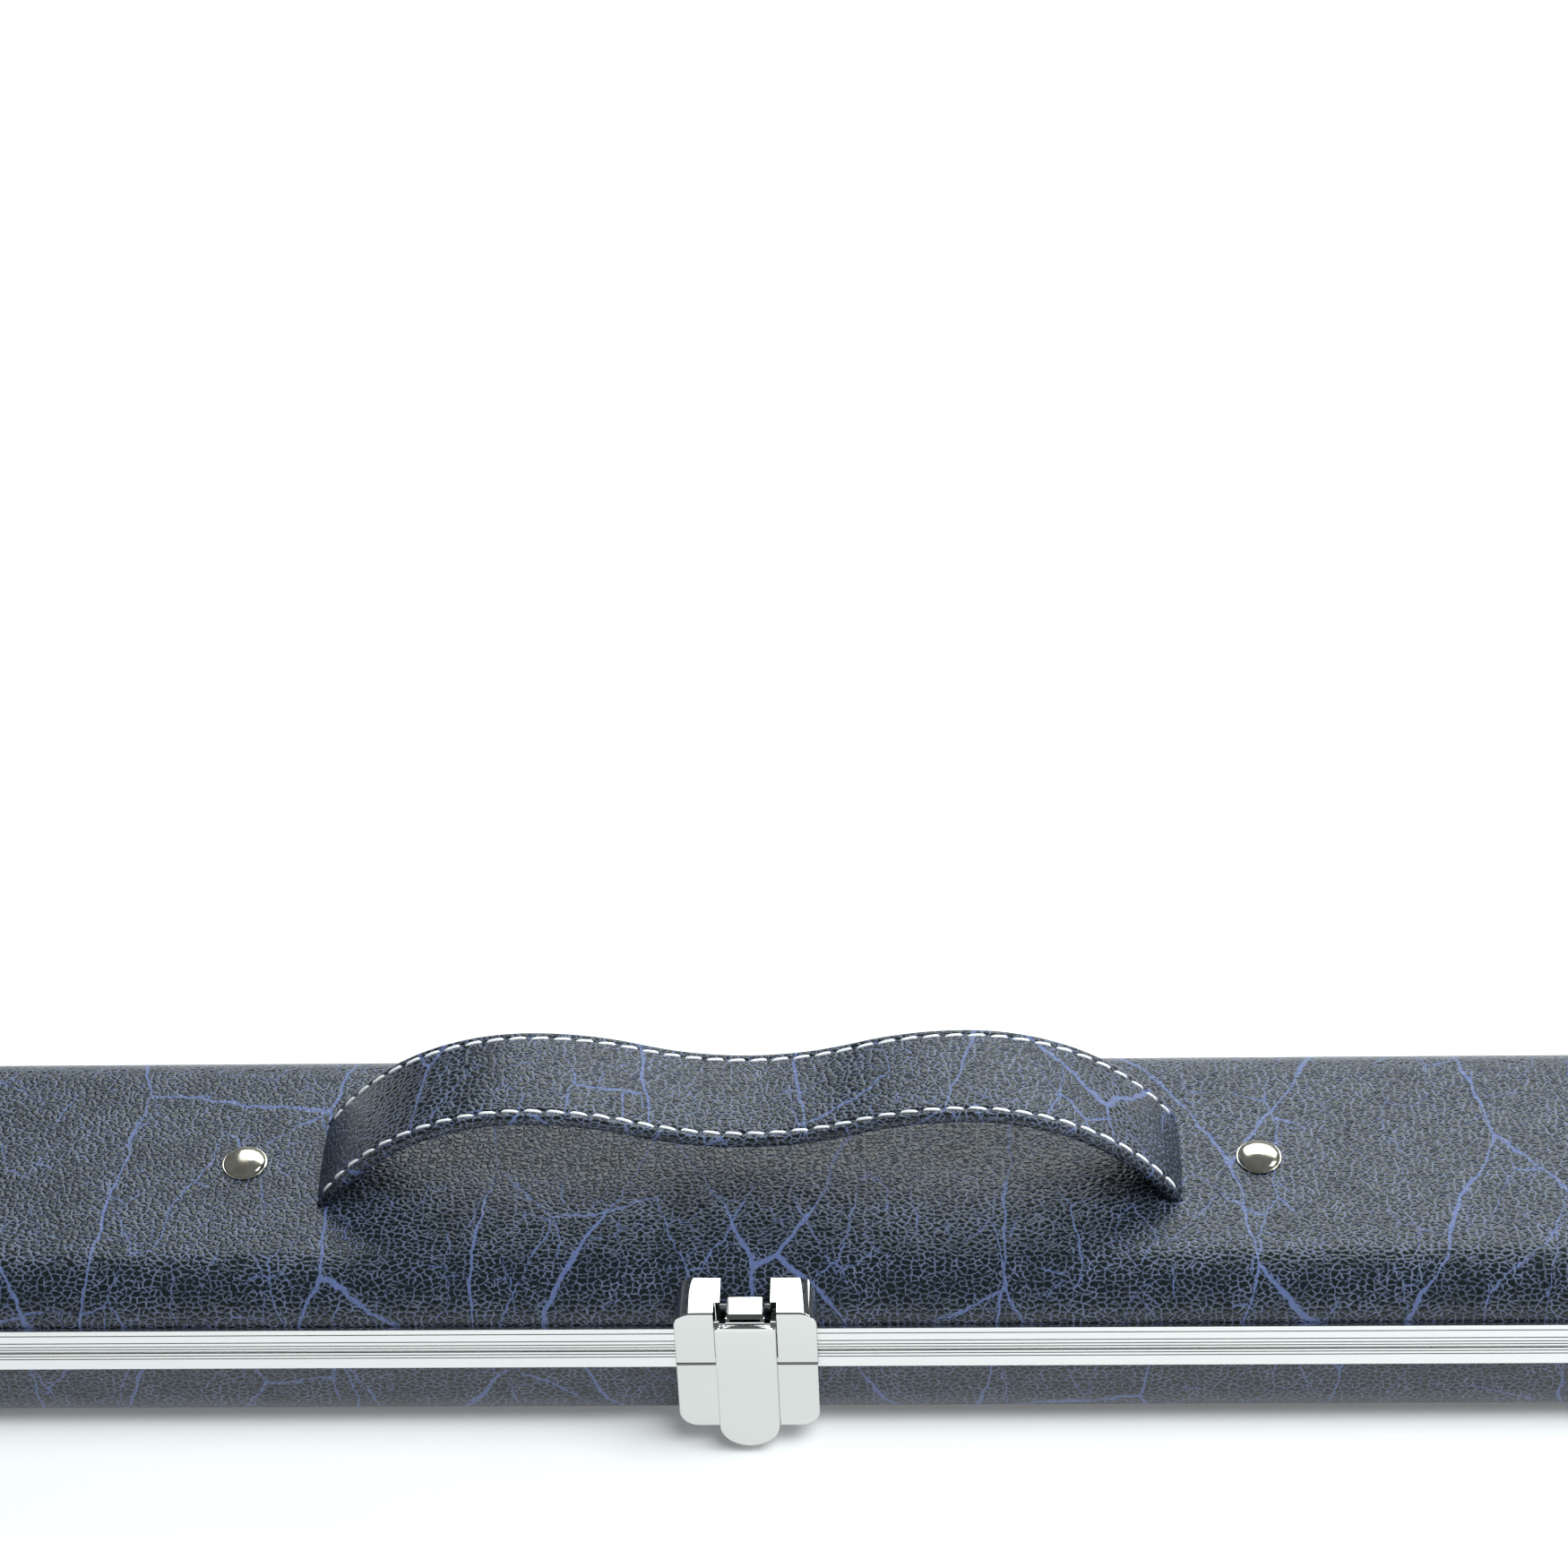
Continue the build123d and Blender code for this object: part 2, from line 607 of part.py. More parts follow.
for place, centre in latch_centres.items():
    section = Plane.YZ.offset(centre)
    plate_low = lid_bottom + plate_seam
    plate_rear_y = -half_width + plate_depth
    band_top = lid_bottom + lid_band_height + glue_gap
    rear_low = lid_skin_centre_z + sqrt(
        skin_gap_radius ** 2 - (plate_rear_y - skin_centre_y) ** 2
    )
    plate_high = rear_low + plate_rear_wall
    with BuildPart() as latch_body:
        with BuildSketch(section):
            with BuildLine():
                band_corner = skin_point(lid_skin_centre_z, band_top)
                Polyline(
                    band_corner, (plate_back_y, band_top), (plate_back_y, plate_low),
                    (plate_front_y, plate_low), (plate_front_y, plate_high),
                    (plate_rear_y, plate_high), (plate_rear_y, rear_low),
                )
                RadiusArc((plate_rear_y, rear_low), band_corner, -skin_gap_radius)
            make_face()
        extrude(amount=plate_width / 2, both=True)
        fillet(edges().filter_by(Axis.Y).group_by(Axis.Z)[-1], plate_corner)
        fillet(faces().sort_by(Axis.Y)[0].edges(), plate_edge)
        pocket_y = (plate_front_y + plate_wall, 0)
        ear_inner = ear_gap / 2 + plate_wall
        ear_outer = plate_width / 2 - plate_side_wall
        pocket_z = (plate_low + plate_wall, plate_high - plate_top_wall)
        for side in (-1, 1):
            pocket_x = sorted((centre + side * ear_inner, centre + side * ear_outer))
            block(pocket_x, pocket_y, pocket_z, Mode.SUBTRACT)
        gap_x = (centre - ear_gap / 2, centre + ear_gap / 2)
        block(gap_x, pocket_y, (plate_low + plate_wall, case_height), Mode.SUBTRACT)
        front_x = (centre - opening_half, centre + opening_half)
        front_y = (plate_front_y - plate_wall, -half_width - ear_wall_end)
        block(front_x, front_y, (base_height + opening_sill, case_height), Mode.SUBTRACT)
        bosses(centre, lid_rivet_level)
        with BuildSketch(section):
            with Locations(link_pivot):
                Circle(link_pin_radius)
        extrude(amount=ear_inner, both=True, mode=Mode.SUBTRACT)
    latch_body.part.label = f"latch_body_{place}"
    export_step(latch_body.part, f"parts/latch_body_{place}.step")

    keeper_high = base_height - plate_seam
    keeper_low = base_height - keeper_drop
    band_low = base_height - base_band_height - glue_gap
    skin_y = skin_centre_y - skin_gap_radius
    with BuildPart() as latch_keeper:
        with BuildSketch(section):
            with BuildLine():
                skin_corner = skin_point(edge_radius, keeper_low)
                Polyline(
                    (skin_y, edge_radius), (skin_y, band_low), (plate_back_y, band_low),
                    (plate_back_y, keeper_high), (plate_front_y, keeper_high),
                    (plate_front_y, keeper_low), skin_corner,
                )
                RadiusArc(skin_corner, (skin_y, edge_radius), skin_gap_radius)
            make_face()
        extrude(amount=plate_width / 2, both=True)
        fillet(edges().filter_by(Axis.Y).group_by(Axis.Z)[0], keeper_corner)
        fillet(faces().sort_by(Axis.Y)[0].edges(), plate_edge)
        pocket_z = (keeper_low + plate_top_wall, keeper_high - plate_wall)
        notch_wall = notch_width / 2 + plate_wall
        for side in (-1, 1):
            pocket_x = sorted((centre + side * notch_wall, centre + side * ear_outer))
            block(pocket_x, pocket_y, pocket_z, Mode.SUBTRACT)
            groove_middle = centre + side * groove_offset
            groove_x = (groove_middle - groove_width / 2, groove_middle + groove_width / 2)
            groove_y = (plate_front_y - groove_depth, plate_front_y + groove_depth)
            block(groove_x, groove_y, (keeper_low, keeper_high), Mode.SUBTRACT)
        notch_x = (centre - notch_width / 2, centre + notch_width / 2)
        block(notch_x, pocket_y, pocket_z, Mode.SUBTRACT)
        block(notch_x, (2 * plate_front_y, 0), (0, notch_level), Mode.SUBTRACT)
        bosses(centre, keeper_rivet_level)
    latch_keeper.part.label = f"latch_keeper_{place}"
    export_step(latch_keeper.part, f"parts/latch_keeper_{place}.step")

    with BuildPart() as link_pin:
        with BuildSketch(section):
            with Locations(link_pivot):
                Circle(link_pin_radius)
        extrude(amount=ear_gap / 2 + plate_wall, both=True)
    link_pin.part.label = f"link_pin_{place}"
    export_step(link_pin.part, f"parts/link_pin_{place}.step")

    with BuildPart() as latch_link:
        with BuildSketch(section):
            with Locations(link_pivot):
                Circle(link_eye_radius)
            with Locations(lever_pivot):
                Circle(link_front_eye_radius)
            make_hull()
            with BuildLine():
                web_high = base_height + link_web_high
                web_low = base_height + link_web_low
                Polyline(
                    (link_pivot[0] + link_web_behind, web_high),
                    (-half_width - link_web_front, web_high),
                    (-half_width - link_web_front, web_low),
                    (-half_width - link_cheek_front, web_low),
                    (-half_width - link_cheek_front, lever_pivot[1]),
                    (link_pivot[0] + link_web_behind, link_pivot[1]),
                    close=True,
                )
            make_face()
            with BuildLine():
                relief_radius = lever_nose_radius + link_nose_gap
                relief_start = around_lever_pivot(relief_radius, lever_nose_angle)
                relief_end = around_lever_pivot(relief_radius, link_relief_angle)
                relief_middle = around_lever_pivot(
                    relief_radius, (lever_nose_angle + link_relief_angle) / 2
                )
                Line(lever_pivot, relief_start)
                ThreePointArc(relief_start, relief_middle, relief_end)
                Line(relief_end, lever_pivot)
            make_face(mode=Mode.SUBTRACT)
            with Locations(lever_pivot):
                Circle(link_front_eye_radius)
                Circle(lever_pin_radius + pivot_fit, mode=Mode.SUBTRACT)
            with Locations(link_pivot):
                Circle(link_pin_radius + pivot_fit, mode=Mode.SUBTRACT)
        extrude(amount=link_width / 2, both=True)
        fillet(faces().sort_by(Axis.Z)[-1].edges().filter_by(Axis.Y), link_bend)
        inside = link_width / 2 - link_sheet
        link_y = (-half_width - lever_front, 0)
        link_z = (base_height, web_low)
        block((centre - inside, centre + inside), link_y, link_z, Mode.SUBTRACT)
    latch_link.part.label = f"latch_link_{place}"
    export_step(latch_link.part, f"parts/latch_link_{place}.step")

    with BuildPart() as lever_pin:
        with BuildSketch(section):
            with Locations(lever_pivot):
                Circle(lever_pin_radius)
        extrude(amount=lever_width / 2 - pivot_fit, both=True)
    lever_pin.part.label = f"lever_pin_{place}"
    export_step(lever_pin.part, f"parts/lever_pin_{place}.step")

    lever_plane = Plane.XZ.shift_origin((centre, 0, 0)).offset(half_width + lever_back_out)
    face_y = -half_width - lever_front
    back_y = -half_width - lever_back_out
    with BuildPart() as latch_lever:
        with BuildSketch(section):
            with BuildLine():
                nose_start = (face_y, lever_pivot[1])
                nose_middle = around_lever_pivot(lever_nose_radius, lever_nose_angle / 2)
                nose_end = around_lever_pivot(lever_nose_radius, lever_nose_angle)
                nose_inner_end = around_lever_pivot(lever_nose_inner, lever_nose_angle)
                Line((face_y, lever_tip), nose_start)
                ThreePointArc(nose_start, nose_middle, nose_end)
                Polyline(
                    nose_end, nose_inner_end, (back_y, lever_pivot[1]), (back_y, lever_tip),
                    (face_y, lever_tip),
                )
            make_face()
        extrude(amount=lever_width / 2, both=True)
        with BuildSketch(lever_plane):
            lever_outline(lever_width, 2 * case_height, lever_tip)
        extrude(amount=2 * lever_depth, both=True, mode=Mode.INTERSECT)
        rim_edges = faces().sort_by(Axis.Y)[0].edges().sort_by(Axis.Z)[:-1]
        nose_face = faces().filter_by(GeomType.CYLINDER).sort_by(Axis.Z)[-1]
        rim_edges = rim_edges + nose_face.edges().filter_by(GeomType.CIRCLE)
        fillet(rim_edges, lever_edge)
        arch_sketch = arch_above(lever_plane, lever_width, lever_top_level)
        extrude(arch_sketch, amount=2 * lever_depth, both=True, mode=Mode.SUBTRACT)
        inner_half = lever_width / 2 - lever_wall
        with BuildSketch(lever_plane):
            lever_outline(2 * inner_half, lever_pivot[1], lever_tip + lever_wall)
        extrude(amount=lever_depth - lever_face, mode=Mode.SUBTRACT)
        with BuildSketch(section):
            with Locations(lever_pivot):
                Circle(lever_nose_inner)
        extrude(amount=inner_half, both=True, mode=Mode.SUBTRACT)
        hook_high = notch_level - hook_clear
        hook_x = (centre - lever_width / 2 + lever_wall / 2, centre + lever_width / 2 - lever_wall / 2)
        hook_y = (face_y + lever_face / 2, back_y)
        block(hook_x, hook_y, (hook_high - hook_height, hook_high))
        cheek_inner = lever_width / 2 - lever_wall
        for side in (-1, 1):
            cheek_plane = Plane.YZ.offset(centre + side * cheek_inner)
            with BuildSketch(cheek_plane):
                with Locations(lever_pivot):
                    Circle(lever_cheek_radius)
                cheek_depth = lever_depth - lever_edge
                with Locations((back_y - cheek_depth / 2, lever_pivot[1] - lever_cheek_drop / 2)):
                    Rectangle(cheek_depth, lever_cheek_drop)
                make_hull()
            extrude(amount=side * lever_wall)
        with BuildSketch(section):
            with Locations(lever_pivot):
                Circle(lever_pin_radius + pivot_fit)
        extrude(amount=lever_width / 2, both=True, mode=Mode.SUBTRACT)
    latch_lever.part.label = f"latch_lever_{place}"
    export_step(latch_lever.part, f"parts/latch_lever_{place}.step")
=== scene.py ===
import math

import bpy
import numpy as np
from mathutils import Matrix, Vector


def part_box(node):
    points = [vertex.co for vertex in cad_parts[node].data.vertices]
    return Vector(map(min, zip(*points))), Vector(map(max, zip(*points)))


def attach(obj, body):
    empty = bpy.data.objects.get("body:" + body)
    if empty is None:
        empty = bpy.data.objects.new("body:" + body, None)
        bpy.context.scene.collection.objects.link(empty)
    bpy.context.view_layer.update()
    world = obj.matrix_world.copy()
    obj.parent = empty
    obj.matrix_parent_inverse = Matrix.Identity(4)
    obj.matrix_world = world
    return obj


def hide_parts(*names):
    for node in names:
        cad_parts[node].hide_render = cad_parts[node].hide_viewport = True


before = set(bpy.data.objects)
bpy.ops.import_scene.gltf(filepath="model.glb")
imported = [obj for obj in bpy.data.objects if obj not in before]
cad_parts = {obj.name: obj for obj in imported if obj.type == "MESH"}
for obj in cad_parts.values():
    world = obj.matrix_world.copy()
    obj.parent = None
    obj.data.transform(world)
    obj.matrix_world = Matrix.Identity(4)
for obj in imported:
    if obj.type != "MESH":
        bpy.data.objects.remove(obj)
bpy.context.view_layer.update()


# ---------------------------------------------------------------------------------------------
# Camera, floor and lights. A long lens looks down on the shut case from in front of its latches;
# the case stands on a seamless white table under one large soft light behind it and two smaller.
camera_place = (0.0436, -0.6742, 0.7585)
camera_data = bpy.data.cameras.new("camera")
camera_data.sensor_width = 36.0
camera_data.lens = 89.15
camera_data.clip_end = 50.0
camera = bpy.data.objects.new("camera", camera_data)
bpy.context.scene.collection.objects.link(camera)
camera_yaw = math.radians(2.65)
camera_tilt = math.radians(90.0 - 40.81)
camera_roll = math.radians(-2.28)
turn = Matrix.Rotation(camera_yaw, 4, "Z") @ Matrix.Rotation(camera_tilt, 4, "X")
camera.matrix_world = (
    Matrix.Translation(camera_place) @ turn @ Matrix.Rotation(camera_roll, 4, "Z")
)
bpy.context.scene.camera = camera
bpy.context.scene.view_settings.view_transform = "Standard"


def node(tree, kind, inputs=None, **settings):
    """A shader node with its settings; an input that is a socket is linked, any other is set."""
    made = tree.nodes.new("ShaderNode" + kind)
    for name, value in settings.items():
        setattr(made, name, value)
    for name, value in (inputs or {}).items():
        if isinstance(value, bpy.types.NodeSocket):
            tree.links.new(value, made.inputs[name])
        else:
            made.inputs[name].default_value = value
    return made


def new_material(name, **values):
    """A material with one Principled BSDF; plain values are set on the shader's own sockets."""
    material = bpy.data.materials.new(name)
    material.use_nodes = True
    tree = material.node_tree
    shader = tree.nodes["Principled BSDF"]
    for socket, value in values.items():
        shader.inputs[socket.replace("_", " ")].default_value = value
    return material, tree, shader


floor_reach = 12.0
floor_mesh = bpy.data.meshes.new("floor")
floor_mesh.from_pydata(
    [(-floor_reach, -floor_reach, 0), (floor_reach, -floor_reach, 0),
     (floor_reach, floor_reach, 0), (-floor_reach, floor_reach, 0)], [], [(0, 1, 2, 3)],
)
floor = bpy.data.objects.new("floor", floor_mesh)
bpy.context.scene.collection.objects.link(floor)
floor_material = new_material(
    "table_white", Base_Color=(0.80, 0.80, 0.81, 1), Roughness=0.7,
    Emission_Color=(1.0, 1.0, 1.0, 1), Emission_Strength=0.15,
)[0]
floor_mesh.materials.append(floor_material)


def soft_light(name, place, target, size, power, mirrored=True):
    """A rectangular soft light at a place, turned to face a target; mirrored if it reflects."""
    light = bpy.data.lights.new(name, "AREA")
    light.shape = "RECTANGLE"
    light.size, light.size_y = size
    light.energy = power
    light.color = (0.94, 1.0, 0.99)
    lamp = bpy.data.objects.new(name, light)
    bpy.context.scene.collection.objects.link(lamp)
    lamp.visible_glossy = mirrored
    direction = np.array(target, float) - np.array(place, float)
    yaw = math.atan2(direction[0], -direction[1])
    tilt = math.acos(-direction[2] / np.linalg.norm(direction))
    lamp.matrix_world = (
        Matrix.Translation(place) @ Matrix.Rotation(yaw, 4, "Z") @ Matrix.Rotation(-tilt, 4, "X")
    )


soft_light("light_behind", (0.60, 1.35, 1.10), (0.60, 0.0, 0.0), (2.4, 1.00), 31.0)
soft_light("light_right", (1.8, -0.2, 1.2), (0.1, 0.0, 0.0), (0.9, 0.9), 12.0)
soft_light("light_front", (0.7, -0.45, 2.1), (0.0, 0.0, 0.0), (1.5, 1.0), 54.0, mirrored=False)

world = bpy.data.worlds.new("studio")
bpy.context.scene.world = world
world.use_nodes = True
world.node_tree.nodes["Background"].inputs["Color"].default_value = (0.90, 0.95, 1.0, 1)
world.node_tree.nodes["Background"].inputs["Strength"].default_value = 0.16


# ---------------------------------------------------------------------------------------------
# Leatherette covers of the lid and the base. Embossed PVC cloth, navy with a pale blue crackle
# print in its grooves, glued round the board trays and tucked under the aluminium bands.
case_length = 0.850
case_width = 0.090
corner_radius = 0.017
edge_radius = 0.0145
band_thickness = 0.0010
cover_thickness = 0.0008
corner_steps = 14
edge_steps = 20
wall_steps = 8
grain_scale = 660.0
emboss_depth = 0.00013


def smooth_mesh(name, places, faces, material, smooth=True):
    """A mesh object at the origin from arrays of places and faces, with one material."""
    mesh = bpy.data.meshes.new(name)
    mesh.from_pydata(np.asarray(places, float).tolist(), [], [list(f) for f in faces])
    mesh.polygons.foreach_set("use_smooth", [smooth] * len(mesh.polygons))
    mesh.materials.append(material)
    mesh.update()
    made = bpy.data.objects.new(name, mesh)
    bpy.context.scene.collection.objects.link(made)
    return made


def grid_faces(rows, columns, wrap_rows=False, wrap_columns=False):
    """Quads between neighbouring rows and columns of a grid, closed round where it wraps."""
    i, j = np.meshgrid(
        np.arange(rows if wrap_rows else rows - 1),
        np.arange(columns if wrap_columns else columns - 1), indexing="ij",
    )
    i, j = i.ravel(), j.ravel()
    down = (i + 1) % rows
    right = (j + 1) % columns
    return np.stack([i * columns + j, down * columns + j, down * columns + right,
                     i * columns + right], axis=1)


def case_outline():
    """Arc centres and outward normals once round the case: four quarter circles in turn."""
    quarter = np.linspace(0.0, math.pi / 2, corner_steps)
    angle = np.concatenate([quarter + k * math.pi / 2 for k in range(4)])
    signs = np.repeat([(1, 1), (-1, 1), (-1, -1), (1, -1)], corner_steps, axis=0)
    reach = np.array([case_length / 2 - corner_radius, case_width / 2 - corner_radius])
    normals = np.stack([np.cos(angle), np.sin(angle)], axis=1)
    return signs * reach, normals


def set_map(made, coordinates):
    """Stores a flat pattern place, in metres, for each vertex as the UV map 'cloth'."""
    layer = made.data.uv_layers.new(name="cloth")
    index = np.empty(len(made.data.loops), int)
    made.data.loops.foreach_get("vertex_index", index)
    layer.data.foreach_set("uv", np.asarray(coordinates, float)[index].ravel())


def cover_half(name, material, flat_level, open_level, shift):
    """A cover: each point is an arc centre plus its normal times the corner radius less an inset.

    The inset and the level follow a quarter circle from the flat face, then the straight wall.
    The cloth's own map unfolds the wall: boundary place plus normal times the length along it.
    """
    side = 1 if flat_level > open_level else -1
    angle = np.linspace(0.0, math.pi / 2, edge_steps)
    inset = band_thickness + edge_radius * (1 - np.sin(angle))
    level = flat_level - side * edge_radius * (1 - np.cos(angle))
    wall = np.linspace(level[-1], open_level, wall_steps)[1:]
    inset = np.append(inset, np.full(len(wall), band_thickness))
    level = np.append(level, wall)
    run = np.append(edge_radius * angle, edge_radius * math.pi / 2 + abs(wall - flat_level)
                    - edge_radius)
    centre, normal = case_outline()
    radius = corner_radius - inset
    flat = centre[:, None] + normal[:, None] * radius[None, :, None]
    places = np.concatenate([flat, np.broadcast_to(level[None, :, None], flat.shape[:2] + (1,))],
                            axis=2)
    cloth = (centre + normal * radius[0])[:, None] + normal[:, None] * run[None, :, None]
    rows, columns = places.shape[:2]
    faces = [tuple(face) for face in grid_faces(rows, columns, wrap_rows=True)]
    cap = tuple(range(0, rows * columns, columns))
    if side > 0:
        faces = [face[::-1] for face in faces] + [cap]
    else:
        faces = faces + [cap[::-1]]
    made = smooth_mesh(name, places.reshape(-1, 3), faces, material)
    set_map(made, cloth.reshape(-1, 2) + shift)
    skin = made.modifiers.new("thickness", "SOLIDIFY")
    skin.thickness = cover_thickness
    skin.offset = -1.0
    return made


def maths(tree, operation, *values):
    """The output of a Math node."""
    made = tree.nodes.new("ShaderNodeMath")
    made.operation = operation
    for socket, value in zip(made.inputs, values):
        if isinstance(value, bpy.types.NodeSocket):
            tree.links.new(value, socket)
        else:
            socket.default_value = value
    return made.outputs[0]


def ramp(tree, value, start, end, low=0.0, high=1.0):
    """A smooth step of value from low at start to high at end."""
    return node(tree, "MapRange", {
        "Value": value, "From Min": start, "From Max": end, "To Min": low, "To Max": high,
    }, interpolation_type="SMOOTHSTEP").outputs["Result"]


def noise(tree, vector, scale, detail=2.0, roughness=0.5):
    """The value of a noise texture."""
    return node(tree, "TexNoise", {
        "Vector": vector, "Scale": scale, "Detail": detail, "Roughness": roughness,
    }).outputs["Fac"]


def new_group(name, inputs, outputs):
    """An empty shader node group with the named input and output sockets."""
    group = bpy.data.node_groups.new(name, "ShaderNodeTree")
    for label, kind in inputs:
        group.interface.new_socket(label, in_out="INPUT", socket_type=kind)
    for label, kind in outputs:
        group.interface.new_socket(label, in_out="OUTPUT", socket_type=kind)
    return group, group.nodes.new("NodeGroupInput"), group.nodes.new("NodeGroupOutput")


def warped(tree, vector, scale, amount, turn=0.0, stretch=(1.0, 1.0, 1.0)):
    """The vector pushed about by a noise of the given scale, then turned and stretched."""
    push = node(tree, "TexNoise", {"Vector": vector, "Scale": scale, "Detail": 3.0})
    centred = node(tree, "VectorMath", {0: push.outputs["Color"], 1: (0.5, 0.5, 0.5)},
                   operation="SUBTRACT")
    scaled = node(tree, "VectorMath", {0: centred.outputs[0], "Scale": amount}, operation="SCALE")
    moved = node(tree, "VectorMath", {0: vector, 1: scaled.outputs[0]}, operation="ADD")
    return node(tree, "Mapping", {
        "Vector": moved.outputs[0], "Rotation": (0.0, 0.0, turn), "Scale": stretch,
    }).outputs[0]


def crack_distance(tree, vector, scale):
    """Distance in metres to the nearest border between scattered cells."""
    edge = node(tree, "TexVoronoi", {"Vector": vector, "Scale": scale, "Randomness": 1.0},
                feature="DISTANCE_TO_EDGE", voronoi_dimensions="2D").outputs["Distance"]
    return maths(tree, "DIVIDE", edge, scale)


def crack(tree, distance, half_width, blur):
    """One inside a crack of the given half width, fading to nought over the blur."""
    return maths(tree, "SUBTRACT", 1.0, ramp(
        tree, maths(tree, "SUBTRACT", distance, half_width), -blur / 2, blur / 2))


def blend_colors(tree, factor, first, second):
    """The output of a colour mix of two sockets."""
    made = node(tree, "Mix", data_type="RGBA")
    for index, value in ((0, factor), (6, first), (7, second)):
        tree.links.new(value, made.inputs[index])
    return made.outputs[2]


def leatherette_group():
    """Marbled leatherette: long veins, branching veins, scribbles and the embossed grain."""
    group, given, result = new_group(
        "marbled_leatherette",
        [("Vector", "NodeSocketVector"), ("Ground", "NodeSocketColor"),
         ("Groove", "NodeSocketColor"), ("Vein", "NodeSocketColor")],
        [("Color", "NodeSocketColor"), ("Roughness", "NodeSocketFloat"),
         ("Height", "NodeSocketFloat")],
    )
    vector = given.outputs["Vector"]
    ragged = maths(group, "MULTIPLY", maths(
        group, "SUBTRACT", noise(group, vector, 1100.0, 2.0), 0.5), 0.0009)
    bent = warped(group, vector, 40.0, 0.009, 0.10, (1.0, 0.46, 1.0))
    bent = warped(group, bent, 330.0, 0.0014)
    long_edge = maths(group, "ADD", crack_distance(group, bent, 21.0), ragged)
    long_width = ramp(group, noise(group, vector, 40.0, 3.0), 0.30, 0.72, 0.00012, 0.00050)
    long_vein = crack(group, long_edge, long_width, 0.00022)
    branch = warped(group, vector, 60.0, 0.008, 0.62, (1.0, 0.55, 1.0))
    branch = warped(group, branch, 420.0, 0.0011)
    branch_edge = maths(group, "ADD", crack_distance(group, branch, 52.0), ragged)
    branch_width = ramp(group, noise(group, vector, 33.0, 3.0), 0.36, 0.64, -0.00022, 0.00022)
    branch_vein = crack(group, branch_edge, branch_width, 0.00020)
    scribble = warped(group, vector, 210.0, 0.0042, 1.1, (1.0, 0.8, 1.0))
    scribble_edge = maths(group, "ADD", crack_distance(group, scribble, 110.0), ragged)
    scribble_width = ramp(group, noise(group, vector, 75.0, 3.0, 0.6), 0.37, 0.64,
                          -0.00032, 0.00016)
    scribble_vein = maths(group, "MULTIPLY", 0.8, crack(
        group, scribble_edge, scribble_width, 0.00020))
    vein = maths(group, "MAXIMUM", long_vein, maths(group, "MAXIMUM", branch_vein,
                                                    scribble_vein))
    grained = warped(group, vector, 700.0, 0.0014, 0.0, (0.80, 1.12, 1.0))
    grain_edge = maths(
        group, "MULTIPLY", crack_distance(group, grained, grain_scale), grain_scale)
    coverage = noise(group, vector, 700.0, 3.0, 0.6)
    cloud = noise(group, vector, 90.0, 2.0)
    groove = maths(group, "MULTIPLY", maths(group, "SUBTRACT", 1.0, ramp(
        group, grain_edge, 0.04, 0.15)), ramp(group, coverage, 0.36, 0.52, 0.10, 1.0))
    printed = maths(group, "MULTIPLY", groove, ramp(group, cloud, 0.30, 0.70, 0.55, 1.0))
    patch = blend_colors(group, printed, given.outputs["Ground"], given.outputs["Groove"])
    group.links.new(blend_colors(group, vein, patch, given.outputs["Vein"]),
                    result.inputs["Color"])
    pebble = ramp(group, grain_edge, 0.0, 0.36)
    height = maths(group, "SUBTRACT", pebble, maths(group, "MULTIPLY", vein, 0.30))
    height = maths(group, "ADD", height, maths(group, "MULTIPLY", coverage, 0.35))
    group.links.new(height, result.inputs["Height"])
    rough = maths(group, "ADD", 0.22, maths(group, "MULTIPLY", groove, 0.22))
    group.links.new(maths(group, "ADD", rough, maths(group, "MULTIPLY", vein, 0.12)),
                    result.inputs["Roughness"])
    return group


leatherette_nodes = leatherette_group()


def leatherette(name, ground, groove, vein, depth):
    """Leatherette that reads the cloth's own map, embossed to the given depth in metres."""
    material, tree, shader = new_material(name, Specular_IOR_Level=0.5, Coat_Weight=0.0)
    place = node(tree, "UVMap", uv_map="cloth")
    pattern = tree.nodes.new("ShaderNodeGroup")
    pattern.node_tree = leatherette_nodes
    tree.links.new(place.outputs["UV"], pattern.inputs["Vector"])
    pattern.inputs["Ground"].default_value = ground
    pattern.inputs["Groove"].default_value = groove
    pattern.inputs["Vein"].default_value = vein
    bump = node(tree, "Bump", {"Strength": 0.9, "Distance": depth,
                               "Height": pattern.outputs["Height"]})
    tree.links.new(pattern.outputs["Color"], shader.inputs["Base Color"])
    tree.links.new(pattern.outputs["Roughness"], shader.inputs["Roughness"])
    tree.links.new(bump.outputs["Normal"], shader.inputs["Normal"])
    return material


navy = (0.0048, 0.0090, 0.0110, 1)
groove_blue = (0.120, 0.146, 0.236, 1)
vein_blue = (0.092, 0.124, 0.262, 1)
case_leatherette = leatherette("navy_leatherette", navy, groove_blue, vein_blue, emboss_depth)

lid_low, lid_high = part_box("lid_cover")
base_low, base_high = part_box("base_cover")
lid_cover = cover_half("lid_leatherette", case_leatherette, lid_high.z, lid_low.z, (0.31, 0.07))
base_cover = cover_half("base_leatherette", case_leatherette, base_low.z, base_high.z,
                        (-0.23, 0.41))
for piece, body, cad_node in ((lid_cover, "lid", "lid_cover"), (base_cover, "base", "base_cover")):
    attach(piece, body)
    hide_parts(cad_node)


# ---------------------------------------------------------------------------------------------
# Aluminium rims. Two extruded profiles, bent round the case into rings and pressed over the
# edges of the boards; their outer bands are reeded lengthwise and satin anodised.
rim_width = 0.0065
rim_web = 0.0016
rim_inner_wall = 0.0011
rim_corner = 0.0003
seam_start = 0.00032
seam_depth = 0.0012
face_end = 0.0013
reed_depth = 0.00020
reed_half = 0.00022


